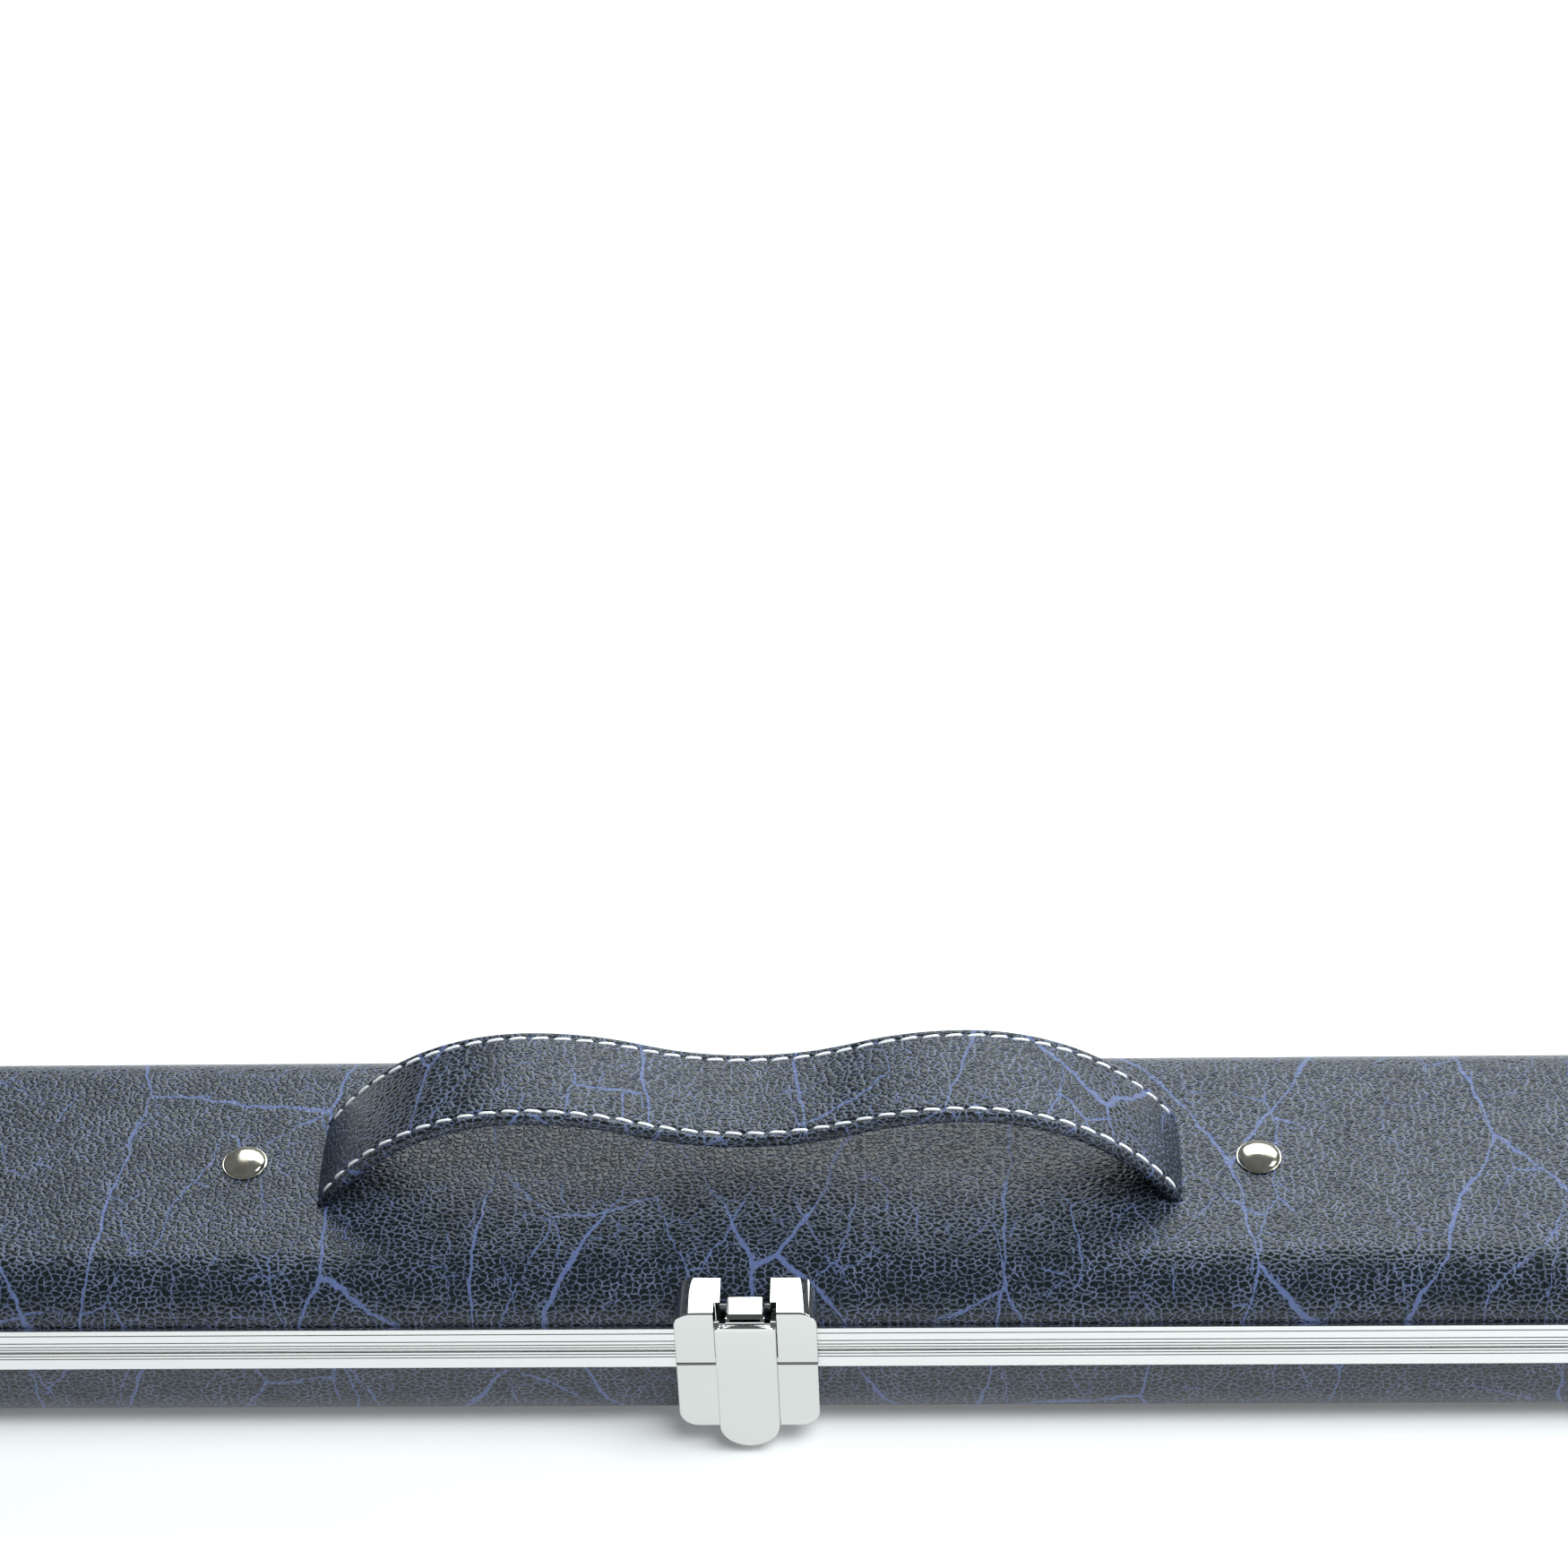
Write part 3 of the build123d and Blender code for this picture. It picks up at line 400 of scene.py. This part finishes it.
def satin_aluminium():
    """Anodised aluminium: bright metal with faint drawing lines that keep to one height."""
    material, tree, shader = new_material(
        "satin_aluminium", Base_Color=(0.80, 0.81, 0.80, 1), Metallic=1.0,
    )
    place = node(tree, "TexCoord").outputs["Object"]
    stretched = node(tree, "Mapping", {"Vector": place, "Scale": (2.0, 2.0, 2600.0)})
    streak = noise(tree, stretched.outputs[0], 1.0, 2.0)
    cloud = noise(tree, place, 25.0, 2.0)
    rough = maths(tree, "ADD", ramp(tree, streak, 0.3, 0.7, 0.20, 0.23),
                  maths(tree, "MULTIPLY", cloud, 0.06))
    tree.links.new(rough, shader.inputs["Roughness"])
    return material


aluminium = satin_aluminium()


def reeded_line(start, end, grooves):
    """Depths and distances along a face from start to end, with a narrow groove at each place."""
    points = [(0.0, start)]
    for groove in grooves:
        points += [(0.0, groove - reed_half), (reed_depth, groove - reed_half / 3),
                   (reed_depth, groove + reed_half / 3), (0.0, groove + reed_half)]
    return np.array(points + [(0.0, end)])


def rim_ring(name, mating_level, away, band_height, inner_height, band_reeds, face_reeds):
    """A closed profile carried round the case's outline.

    The profile runs down the reeded band, through the slot for the board and over the inner
    wall, then back across the reeded mating face to the open seam beside the band. Insets are
    measured in from the band.
    """
    band = reeded_line(seam_start, band_height, band_reeds)
    face = reeded_line(rim_width - rim_corner, face_end, face_reeds)
    slot_side = rim_width - rim_inner_wall
    inset = np.concatenate([
        band[:, 0], [band_thickness * 0.95, band_thickness * 0.95, slot_side, slot_side,
                     rim_width, rim_width], face[:, 1], [seam_depth]])
    drop = np.concatenate([
        band[:, 1], [band_height, rim_web, rim_web, inner_height, inner_height, rim_corner],
        face[:, 0], [rim_corner]])
    centre, normal = case_outline()
    flat = centre[:, None] + normal[:, None] * (corner_radius - inset)[None, :, None]
    level = np.broadcast_to((mating_level + away * drop)[None, :, None], flat.shape[:2] + (1,))
    places = np.concatenate([flat, level], axis=2)
    faces = grid_faces(*places.shape[:2], wrap_rows=True, wrap_columns=True)
    if away > 0:
        faces = faces[:, ::-1]
    return smooth_mesh(name, places.reshape(-1, 3), faces, aluminium, smooth=False)


base_rim_low, base_rim_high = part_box("base_rim")
lid_rim_low, lid_rim_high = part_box("lid_rim")
base_rim = rim_ring(
    "base_band", base_rim_high.z, -1, 0.0059, base_rim_high.z - base_rim_low.z,
    (0.0011, 0.0022), (0.0052, 0.0040, 0.0016),
)
lid_rim = rim_ring(
    "lid_band", lid_rim_low.z, 1, 0.0077, lid_rim_high.z - lid_rim_low.z,
    (0.0010, 0.0020, 0.0033, 0.0060), (0.0052, 0.0016),
)
for piece, body, cad_node in ((base_rim, "base", "base_rim"), (lid_rim, "lid", "lid_rim")):
    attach(piece, body)
    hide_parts(cad_node)


# ---------------------------------------------------------------------------------------------
# Foam linings. Black open-cell polyurethane: the base block is cut with two round-bottomed
# channels for the cue's halves, the lid's sheet is convoluted into rows of bumps and pits.
channel_width = 0.032
channel_rib = 0.0055
channel_end = 0.4042
channel_run_out = 0.012
bump_pitch = 0.034
bump_row = 0.013
bump_reach = 0.0048
channel_floor = 0.0045
block_swell = 0.0002
block_corner = 0.0101
block_back = 0.008
sheet_swell = 0.0010
sheet_corner = 0.0098
sheet_back = 0.0116
sheet_end_run = 0.0105
shallow_edge = 0.006


def black_foam():
    """Open-cell foam: near-black and matt, pitted, with pale specks painted in as highlights on
    tiny cell walls.
    """
    material, tree, shader = new_material(
        "black_foam", Roughness=0.95, Specular_IOR_Level=0.25, Sheen_Weight=0.12,
        Sheen_Roughness=0.6,
    )
    place = node(tree, "TexCoord").outputs["Object"]
    cells = node(tree, "TexVoronoi", {"Vector": place, "Scale": 1500.0, "Randomness": 1.0})
    wall_highlight_noise = noise(tree, place, 2400.0, 2.0)
    painted_highlight_speck = ramp(tree, wall_highlight_noise, 0.66, 0.74)
    cloud = ramp(tree, noise(tree, place, 60.0, 3.0), 0.3, 0.7, 0.006, 0.013)
    # Painted highlight: pale specks added to the base colour where the cell walls would catch the
    # light.
    tone = maths(tree, "ADD", cloud, maths(tree, "MULTIPLY", painted_highlight_speck, 0.16))
    tint = node(tree, "CombineColor", {"Red": tone, "Green": tone, "Blue": tone})
    tree.links.new(tint.outputs[0], shader.inputs["Base Color"])
    bump = node(tree, "Bump", {"Strength": 1.0, "Distance": 0.0004,
                               "Height": cells.outputs["Distance"]})
    tree.links.new(bump.outputs["Normal"], shader.inputs["Normal"])
    return material


foam = black_foam()


def foam_bar(name, x, width_at, across, face_at, back_level, up):
    """A bar of foam: at each station x, a closed loop of the shaped face and the flat back.

    across runs from -1 to 1 over the bar's width there; face_at gives the face's level.
    """
    half = width_at(x)
    y = half[:, None] * across[None, :]
    x_grid = np.broadcast_to(x[:, None], y.shape)
    top = np.stack([x_grid, y, face_at(x_grid, y)], axis=2)
    back = np.stack([x_grid, y, np.full(y.shape, back_level)], axis=2)[:, ::-1]
    loop = np.concatenate([top, back], axis=1)
    rows, columns = loop.shape[:2]
    faces = [tuple(face) for face in grid_faces(rows, columns, wrap_columns=True)]
    faces += [tuple(range(columns))[::-1],
              tuple(range((rows - 1) * columns, rows * columns))]
    if not up:
        faces = [face[::-1] for face in faces]
    made = smooth_mesh(name, loop.reshape(-1, 3), faces, foam)
    return made


def rounded_width(length_half, width_half, radius):
    """Half width of a bar with rounded corners: it narrows along a quarter circle at each end."""
    def width_at(x):
        over = np.clip(np.abs(x) - (length_half - radius), 0.0, radius)
        return width_half - radius + np.sqrt(np.maximum(radius ** 2 - over ** 2, 0.0))
    return width_at


def channel_level(top, depth_centre):
    """Level of the channelled face: half-round bottoms below straight sides.

    At its ends a channel's depth runs out along a quarter circle.
    """
    centre_y = (channel_rib + channel_width) / 2
    radius = channel_width / 2

    def level(x, y):
        off = np.abs(np.abs(y) - centre_y) / radius
        inside = np.clip((1.02 - off) / 0.10, 0.0, 1.0)
        round_part = radius * np.sqrt(np.clip(1 - off ** 2, 0.0, 1.0))
        depth = inside * depth_centre + round_part
        left = np.clip((channel_end - np.abs(x)) / channel_run_out, 0.0, 1.0)
        return top - depth * np.sqrt(1 - (1 - left) ** 2)
    return level


def bump_level(face, length_half, width_half):
    """Level of the convoluted face: crossed cosines make bumps and pits in a checker pattern.

    The pits grow shallow within 6 mm of the sheet's edges, where the foam fills the rim.
    """
    def level(x, y):
        wobble = 0.0009 * np.sin(x * 61.0 + 2.1 * np.sin(y * 83.0)) + 0.0007 * np.sin(x * 23.0)
        wave = (np.cos(2 * math.pi * (x + wobble) / bump_pitch)
                * np.cos(math.pi * (y + wobble) / bump_row))
        wave = np.sign(wave) * np.abs(wave) ** 0.75
        border = np.minimum(length_half - np.abs(x), width_half - np.abs(y))
        full = 0.30 + 0.70 * np.clip(border / shallow_edge, 0.0, 1.0)
        return face + bump_reach * (1 - wave) * full
    return level


foam_low, foam_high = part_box("base_foam")
ends = np.array([0.0, 0.00015, 0.0006, 0.0014, 0.0025, 0.004, 0.006, 0.008, 0.010])
run_out = channel_end - channel_run_out * (1 - np.cos(np.linspace(0, math.pi / 2, 10)))
half_x, half_y = foam_high.x + block_swell, foam_high.y + block_swell
station = np.concatenate([half_x - ends, run_out, np.linspace(run_out[-1], 0.0, 40)[1:]])
station = np.concatenate([-station, station[::-1][1:]])
across = np.linspace(-1.0, 1.0, 241)
base_lining = foam_bar(
    "base_foam_lining", station, rounded_width(half_x, half_y, block_corner), across,
    channel_level(foam_high.z, foam_high.z - foam_low.z - channel_floor - channel_width / 2),
    foam_low.z + block_back, up=True,
)
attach(base_lining, "base")
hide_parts("base_foam")

sheet_low, sheet_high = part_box("lid_foam")
half_x, half_y = sheet_high.x + sheet_swell, sheet_high.y + sheet_swell
station = np.concatenate([half_x - ends, np.linspace(half_x - sheet_end_run, 0.0, 190)])
station = np.concatenate([-station, station[::-1][1:]])
across = np.linspace(-1.0, 1.0, 61)
lid_lining = foam_bar(
    "lid_foam_lining", station, rounded_width(half_x, half_y, sheet_corner), across,
    bump_level(sheet_low.z, half_x, half_y), sheet_low.z + sheet_back, up=False,
)
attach(lid_lining, "lid")
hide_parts("lid_foam")


# ---------------------------------------------------------------------------------------------
# Carrying strap. Leatherette rolled round a spring-steel core and sewn along both edges with
# white thread; it arches over the lid in a wave and its ends go down through two slots.
strap_half_width = 0.0150
strap_half_thickness = 0.00160
strap_crown = 0.00025
strap_roll = 0.0012
stitch_row = 0.0126
stitch_pitch = 0.0055
stitch_length = 0.0046
stitch_radius = 0.00042
stitch_sink = 0.00030
stitch_rise = 0.00048
stitch_lean = 0.00022
seam_half_length = 0.1172
thread_sides = 6
thread_rings = 8
groove_depth = 0.00028
pit_depth = 0.00040
middle_depth = 0.00165
dip_depth = 0.0083
hump_place = 0.054
foot_place = 0.1057
tab_bend = 0.0036
strap_cut_from = (0.57, 0.23)
strap_low, strap_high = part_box("handle_strap")
hump_level = strap_high.z - middle_depth
dip_level = hump_level - dip_depth
tab_level = strap_low.z + middle_depth
lid_top = lid_high.z


def strap_turns():
    """Length and turning of each run of the strap from its middle outwards.

    Two equal arcs make the wave from dip to hump: each turns by twice the angle whose tangent
    is rise over run.  One arc leads down to the slot, a straight run and a short bend follow.
    """
    half_run = hump_place / 2
    wave = 2 * math.atan((hump_level - dip_level) / 2 / half_run)
    wave_length = wave * half_run / math.sin(wave)
    run = foot_place - hump_place
    fall = 2 * math.atan((hump_level - lid_top) / run)
    fall_length = fall * run / math.sin(fall)
    straight = ((lid_top - tab_level) - tab_bend * (1 - math.cos(fall))) / math.sin(fall)
    tab = strap_high.x - foot_place - straight * math.cos(fall) - tab_bend * math.sin(fall)
    return [(wave_length, wave, 62), (wave_length, -wave, 62), (fall_length, -fall, 140),
            (straight, 0.0, 10), (tab_bend * fall, fall, 12), (tab, 0.0, 20)]


def strap_path():
    """Length along the strap, place and direction: directions add up turns, places add steps."""
    length, angle = [0.0], [0.0]
    for run, turned, steps in strap_turns():
        share = np.linspace(0.0, 1.0, steps + 1)[1:]
        length = np.append(length, length[-1] + run * share)
        angle = np.append(angle, angle[-1] + turned * share)
    step = np.diff(length)
    middle = (angle[1:] + angle[:-1]) / 2
    x = np.append(0.0, np.cumsum(step * np.cos(middle)))
    z = dip_level + np.append(0.0, np.cumsum(step * np.sin(middle)))
    mirror = slice(None, 0, -1)
    return (np.append(-length[mirror], length), np.append(-x[mirror], x),
            np.append(z[mirror], z), np.append(-angle[mirror], angle))


def strap_section():
    """Places across and outwards once round the strap: rolled edges and slightly crowned faces."""
    row = np.linspace(stitch_row - 0.0013, stitch_row + 0.0012, 13)
    flat = np.linspace(-row[0], row[0], 15)[1:-1]
    top_y = np.concatenate([-row[::-1], flat, row])
    crown = strap_crown * np.clip(1 - (top_y / stitch_row) ** 2, 0.0, 1.0)
    groove = groove_depth * np.exp(-((np.abs(top_y) - stitch_row) / 0.00050) ** 2)
    top_n = strap_half_thickness + crown - groove
    angle = np.linspace(math.pi / 2, -math.pi / 2, 13)[1:-1]
    centre = strap_half_width - strap_roll
    side_y = centre + strap_roll * np.cos(angle) ** 0.8
    side_n = strap_half_thickness * np.sign(np.sin(angle)) * np.abs(np.sin(angle)) ** 0.8
    return (np.concatenate([top_y, side_y, top_y[::-1], -side_y]),
            np.concatenate([top_n, side_n, -top_n[::-1], -side_n]))


def strap_mesh(name, material):
    """The section carried along the path, with a small pit wherever the needle went through."""
    length, x, z, angle = strap_path()
    across, out = strap_section()
    phase = np.abs((length / stitch_pitch) % 1.0 - 0.5) * stitch_pitch
    along_pit = np.exp(-(phase / 0.00045) ** 2)
    across_pit = np.exp(-((np.abs(across) - stitch_row) / 0.00042) ** 2)
    depth = pit_depth * along_pit[:, None] * across_pit[None, :]
    offset = (out[None, :] - np.sign(out)[None, :] * depth)
    places = np.stack([
        x[:, None] - np.sin(angle)[:, None] * offset,
        np.broadcast_to(across[None, :], offset.shape),
        z[:, None] + np.cos(angle)[:, None] * offset,
    ], axis=2)
    rows, columns = offset.shape
    faces = grid_faces(rows, columns, wrap_columns=True)
    caps = [tuple(range(columns))[::-1], tuple(range((rows - 1) * columns, rows * columns))]
    made = smooth_mesh(name, places.reshape(-1, 3), [tuple(f) for f in faces] + caps, material)
    around = np.append(0.0, np.cumsum(np.hypot(
        np.diff(np.append(across, across[0])), np.diff(np.append(out, out[0])))))
    i, j = np.meshgrid(np.arange(rows - 1), np.arange(columns), indexing="ij")
    i, j = i.ravel(), j.ravel()
    corner_row = np.stack([i, i + 1, i + 1, i], axis=1).ravel()
    corner_column = np.stack([j, j, j + 1, j + 1], axis=1).ravel()
    flat_map = np.stack([length[corner_row] + strap_cut_from[0],
                         around[corner_column] + strap_cut_from[1]], axis=1)
    layer = made.data.uv_layers.new(name="cloth")
    layer.data.foreach_set("uv", np.concatenate([
        flat_map.ravel(), np.zeros(4 * columns)]))
    return made


def stitches(name, material):
    """White stitches: a thread's ring of six carried over an arch that ends inside the strap.

    The arch's height is one less the fourth power of the place along the stitch.
    """
    length, x, z, angle = strap_path()
    first = math.ceil(-seam_half_length / stitch_pitch)
    middles = (np.arange(first, -first) + 0.5) * stitch_pitch
    share = np.linspace(-1.0, 1.0, thread_rings)
    ring = np.arange(thread_sides) * 2 * math.pi / thread_sides
    places = []
    for face in (1, -1):
        for row in (1, -1):
            s = middles[:, None] + share[None, :] * stitch_length / 2
            arch = (strap_half_thickness - groove_depth - stitch_sink
                    + stitch_rise * (1 - share ** 4))
            thick = stitch_radius * (1 - 0.55 * share ** 6)
            n = face * arch[None, :, None] + thick[None, :, None] * np.sin(ring)
            y = row * (stitch_row + stitch_lean * share[None, :, None]) + (
                thick[None, :, None] * np.cos(ring))
            path_x = np.interp(s, length, x)[:, :, None]
            path_z = np.interp(s, length, z)[:, :, None]
            turn = np.interp(s, length, angle)[:, :, None]
            grid = np.stack([
                path_x - np.sin(turn) * n, np.broadcast_to(y, path_x.shape[:2] + (thread_sides,)),
                path_z + np.cos(turn) * n], axis=3)
            places.append(grid.reshape(-1, 3))
    per_stitch = thread_rings * thread_sides
    count = sum(len(part) for part in places) // per_stitch
    quads = grid_faces(thread_rings, thread_sides, wrap_columns=True)[:, ::-1]
    all_quads = (quads[None] + per_stitch * np.arange(count)[:, None, None]).reshape(-1, 4)
    loop = np.arange(thread_sides)
    last = per_stitch - thread_sides
    ends = [tuple(per_stitch * k + loop) for k in range(count)]
    ends += [tuple(per_stitch * k + last + loop[::-1]) for k in range(count)]
    faces = [tuple(face) for face in all_quads] + ends
    return smooth_mesh(name, np.concatenate(places), faces, material)


def white_thread():
    """Waxed polyester thread: white, with fine slanting plies."""
    material, tree, shader = new_material("white_thread", Roughness=0.55, Sheen_Weight=0.2)
    place = node(tree, "TexCoord").outputs["Object"]
    plies = node(tree, "TexWave", {
        "Vector": node(tree, "Mapping", {"Vector": place, "Rotation": (0.0, 0.0, 0.7)}).outputs[0],
        "Scale": 520.0, "Distortion": 0.6,
    })
    tone = node(tree, "ValToRGB", {"Fac": plies.outputs["Fac"]})
    tone.color_ramp.elements[0].color = (0.66, 0.68, 0.74, 1)
    tone.color_ramp.elements[1].color = (0.93, 0.94, 0.96, 1)
    tree.links.new(tone.outputs["Color"], shader.inputs["Base Color"])
    bump = node(tree, "Bump", {"Strength": 0.6, "Distance": 0.00008,
                               "Height": plies.outputs["Fac"]})
    tree.links.new(bump.outputs["Normal"], shader.inputs["Normal"])
    return material


strap = strap_mesh("carrying_strap", case_leatherette)
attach(strap, "lid")
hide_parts("handle_strap")
seams = stitches("strap_stitches", white_thread())
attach(seams, "lid")


# ---------------------------------------------------------------------------------------------
# Handle rivets and their fittings. Two domed nickel-plated studs go through the lid, the strap's
# ends and the steel core, and are closed over steel washers inside.
dome_height = 0.0021
dome_rim = 0.0005
dome_tip = 0.00002
shank_radius = 0.0020
stud_sides = 64


def nickel_plate():
    """Warm nickel plating with cloudy tarnish and a few fine scratches."""
    material, tree, shader = new_material("nickel_plate", Metallic=1.0)
    place = node(tree, "TexCoord").outputs["Object"]
    cloud = noise(tree, place, 330.0, 3.0)
    tone = node(tree, "ValToRGB", {"Fac": ramp(tree, cloud, 0.35, 0.68)})
    tone.color_ramp.elements[0].color = (0.82, 0.78, 0.68, 1)
    tone.color_ramp.elements[1].color = (0.60, 0.55, 0.44, 1)
    tree.links.new(tone.outputs["Color"], shader.inputs["Base Color"])
    tree.links.new(ramp(tree, cloud, 0.3, 0.7, 0.10, 0.24), shader.inputs["Roughness"])
    scratch = noise(tree, node(tree, "Mapping", {
        "Vector": place, "Rotation": (0.0, 0.0, 0.5), "Scale": (400.0, 5200.0, 400.0),
    }).outputs[0], 1.0, 1.0)
    bump = node(tree, "Bump", {"Strength": 0.1, "Distance": 0.00002, "Height": scratch})
    tree.links.new(bump.outputs["Normal"], shader.inputs["Normal"])
    return material


nickel = nickel_plate()
stud_low, stud_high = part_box("handle_studs")


def turned_stud(place_x):
    """Profile once round the stud's axis: shank, flat underside, rolled rim and low dome."""
    radius = (stud_high.y - stud_low.y) / 2
    edge = np.linspace(-math.pi / 2, math.pi / 2, 9)
    dome = np.linspace(0.0, 1.0, 16)
    base = lid_top + dome_tip
    r = np.concatenate([[shank_radius] * 2, radius - dome_rim / 2 + dome_rim / 2 * np.cos(edge),
                        (radius - dome_rim * 0.7) * np.cos(dome * math.pi / 2)])
    h = np.concatenate([[stud_low.z, base], base + dome_rim / 2 * (1 + np.sin(edge)),
                        base + dome_rim * 0.8 + dome_height * np.sin(dome * math.pi / 2)])
    ring = np.arange(stud_sides)
    around = ring * 2 * math.pi / stud_sides
    r, h = r[:-1], h[:-1]
    grid = np.stack([place_x + np.outer(r, np.cos(around)), np.outer(r, np.sin(around)),
                     np.broadcast_to(h[:, None], (len(h), stud_sides))], axis=2)
    faces = [tuple(face[::-1]) for face in grid_faces(len(h), stud_sides, wrap_columns=True)]
    top = len(h) * stud_sides
    places = np.concatenate([grid.reshape(-1, 3), [[place_x, 0.0, h[-1] + dome_tip],
                                                   [place_x, 0.0, h[0]]]])
    after = (ring + 1) % stud_sides
    last = top - stud_sides
    faces += [(last + a, last + b, top) for a, b in zip(ring, after)]
    faces += [(b, a, top + 1) for a, b in zip(ring, after)]
    return places, faces


stud_x = stud_high.x - (stud_high.y - stud_low.y) / 2
left_places, left_faces = turned_stud(-stud_x)
right_places, right_faces = turned_stud(stud_x)
studs = smooth_mesh(
    "domed_studs", np.concatenate([left_places, right_places]),
    left_faces + [tuple(np.array(face) + len(left_places)) for face in right_faces], nickel,
)
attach(studs, "lid")
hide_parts("handle_studs")


def zinc_steel():
    """Zinc-plated steel: satin grey with soft spangle."""
    material, tree, shader = new_material("zinc_steel", Metallic=1.0)
    place = node(tree, "TexCoord").outputs["Object"]
    spangle = noise(tree, place, 420.0, 3.0)
    tone = node(tree, "ValToRGB", {"Fac": spangle})
    tone.color_ramp.elements[0].color = (0.48, 0.49, 0.50, 1)
    tone.color_ramp.elements[1].color = (0.72, 0.73, 0.74, 1)
    tree.links.new(tone.outputs["Color"], shader.inputs["Base Color"])
    tree.links.new(ramp(tree, spangle, 0.3, 0.7, 0.22, 0.38), shader.inputs["Roughness"])
    bump = node(tree, "Bump", {"Strength": 0.2, "Distance": 0.00004, "Height": spangle})
    tree.links.new(bump.outputs["Normal"], shader.inputs["Normal"])
    return material


def finish_nodes(names, material):
    """Gives each named CAD piece a material."""
    for name in names:
        bpy.data.objects[name].material_slots[0].material = material


steel = zinc_steel()
finish_nodes(["handle_core", "handle_washers"], steel)


# ---------------------------------------------------------------------------------------------
# Board trays. Poplar plywood, glued up as an open base and lid; only their raw edges can be
# glimpsed between the leatherette, the rims and the foam.
def plywood():
    """Raw plywood: pale yellow wood with darker grain running along the case."""
    material, tree, shader = new_material("raw_plywood", Roughness=0.75)
    place = node(tree, "TexCoord").outputs["Object"]
    grain = noise(tree, node(tree, "Mapping", {
        "Vector": place, "Scale": (14.0, 420.0, 700.0)}).outputs[0], 1.0, 4.0)
    tone = node(tree, "ValToRGB", {"Fac": grain})
    tone.color_ramp.elements[0].color = (0.42, 0.31, 0.12, 1)
    tone.color_ramp.elements[1].color = (0.68, 0.58, 0.30, 1)
    tree.links.new(tone.outputs["Color"], shader.inputs["Base Color"])
    bump = node(tree, "Bump", {"Strength": 0.3, "Distance": 0.0001, "Height": grain})
    tree.links.new(bump.outputs["Normal"], shader.inputs["Normal"])
    return material


finish_nodes(["base_shell", "lid_shell"], plywood())


# ---------------------------------------------------------------------------------------------
# Continuous hinge. Two folded steel leaves on one long pin behind the case, riveted through the
# rims and boards with aluminium rivets; the latch plates and keepers are held by steel ones.
finish_nodes(["hinge_leaf_base", "hinge_leaf_lid", "hinge_pin"], steel)
finish_nodes(["hinge_rivets_base", "hinge_rivets_lid"], aluminium)
finish_nodes(["latch_rivets", "keeper_rivets"], steel)


# ---------------------------------------------------------------------------------------------
# Draw latches. Chrome-plated zinc castings: a hooded plate on the lid, a keeper on the base and
# a lever on a steel link; polished outside, left as cast inside the lever.
latch_places = ("left", "centre", "right")
lever_wall = 0.0008
lever_inner_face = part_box("latch_lever_centre")[0].y + lever_wall


def chrome(name, cast_from=None):
    """Bright chrome, very slightly wavy; pitted like the mould from the given depth inwards."""
    material, tree, shader = new_material(
        name, Base_Color=(0.66, 0.665, 0.65, 1), Metallic=1.0)
    place = node(tree, "TexCoord").outputs["Object"]
    waves = noise(tree, place, 130.0, 2.0)
    height = maths(tree, "MULTIPLY", waves, 0.35)
    rough = ramp(tree, noise(tree, place, 60.0, 2.0), 0.3, 0.7, 0.045, 0.09)
    if cast_from is not None:
        depth = node(tree, "SeparateXYZ", {"Vector": place}).outputs["Y"]
        inside = ramp(tree, depth, cast_from - 0.0003, cast_from)
        peel = maths(tree, "MULTIPLY", noise(tree, place, 1300.0, 2.0), inside)
        height = maths(tree, "ADD", height, maths(tree, "MULTIPLY", peel, 4.0))
        rough = maths(tree, "ADD", rough, maths(tree, "MULTIPLY", inside, 0.12))
    tree.links.new(rough, shader.inputs["Roughness"])
    bump = node(tree, "Bump", {"Strength": 0.5, "Distance": 0.00004, "Height": height})
    tree.links.new(bump.outputs["Normal"], shader.inputs["Normal"])
    return material


plate_chrome = chrome("plate_chrome")
lever_chrome = chrome("lever_chrome", lever_inner_face)
for place in latch_places:
    finish_nodes([f"latch_body_{place}", f"latch_keeper_{place}", f"latch_link_{place}"],
                 plate_chrome)
    finish_nodes([f"latch_lever_{place}"], lever_chrome)
    finish_nodes([f"link_pin_{place}", f"lever_pin_{place}"], steel)
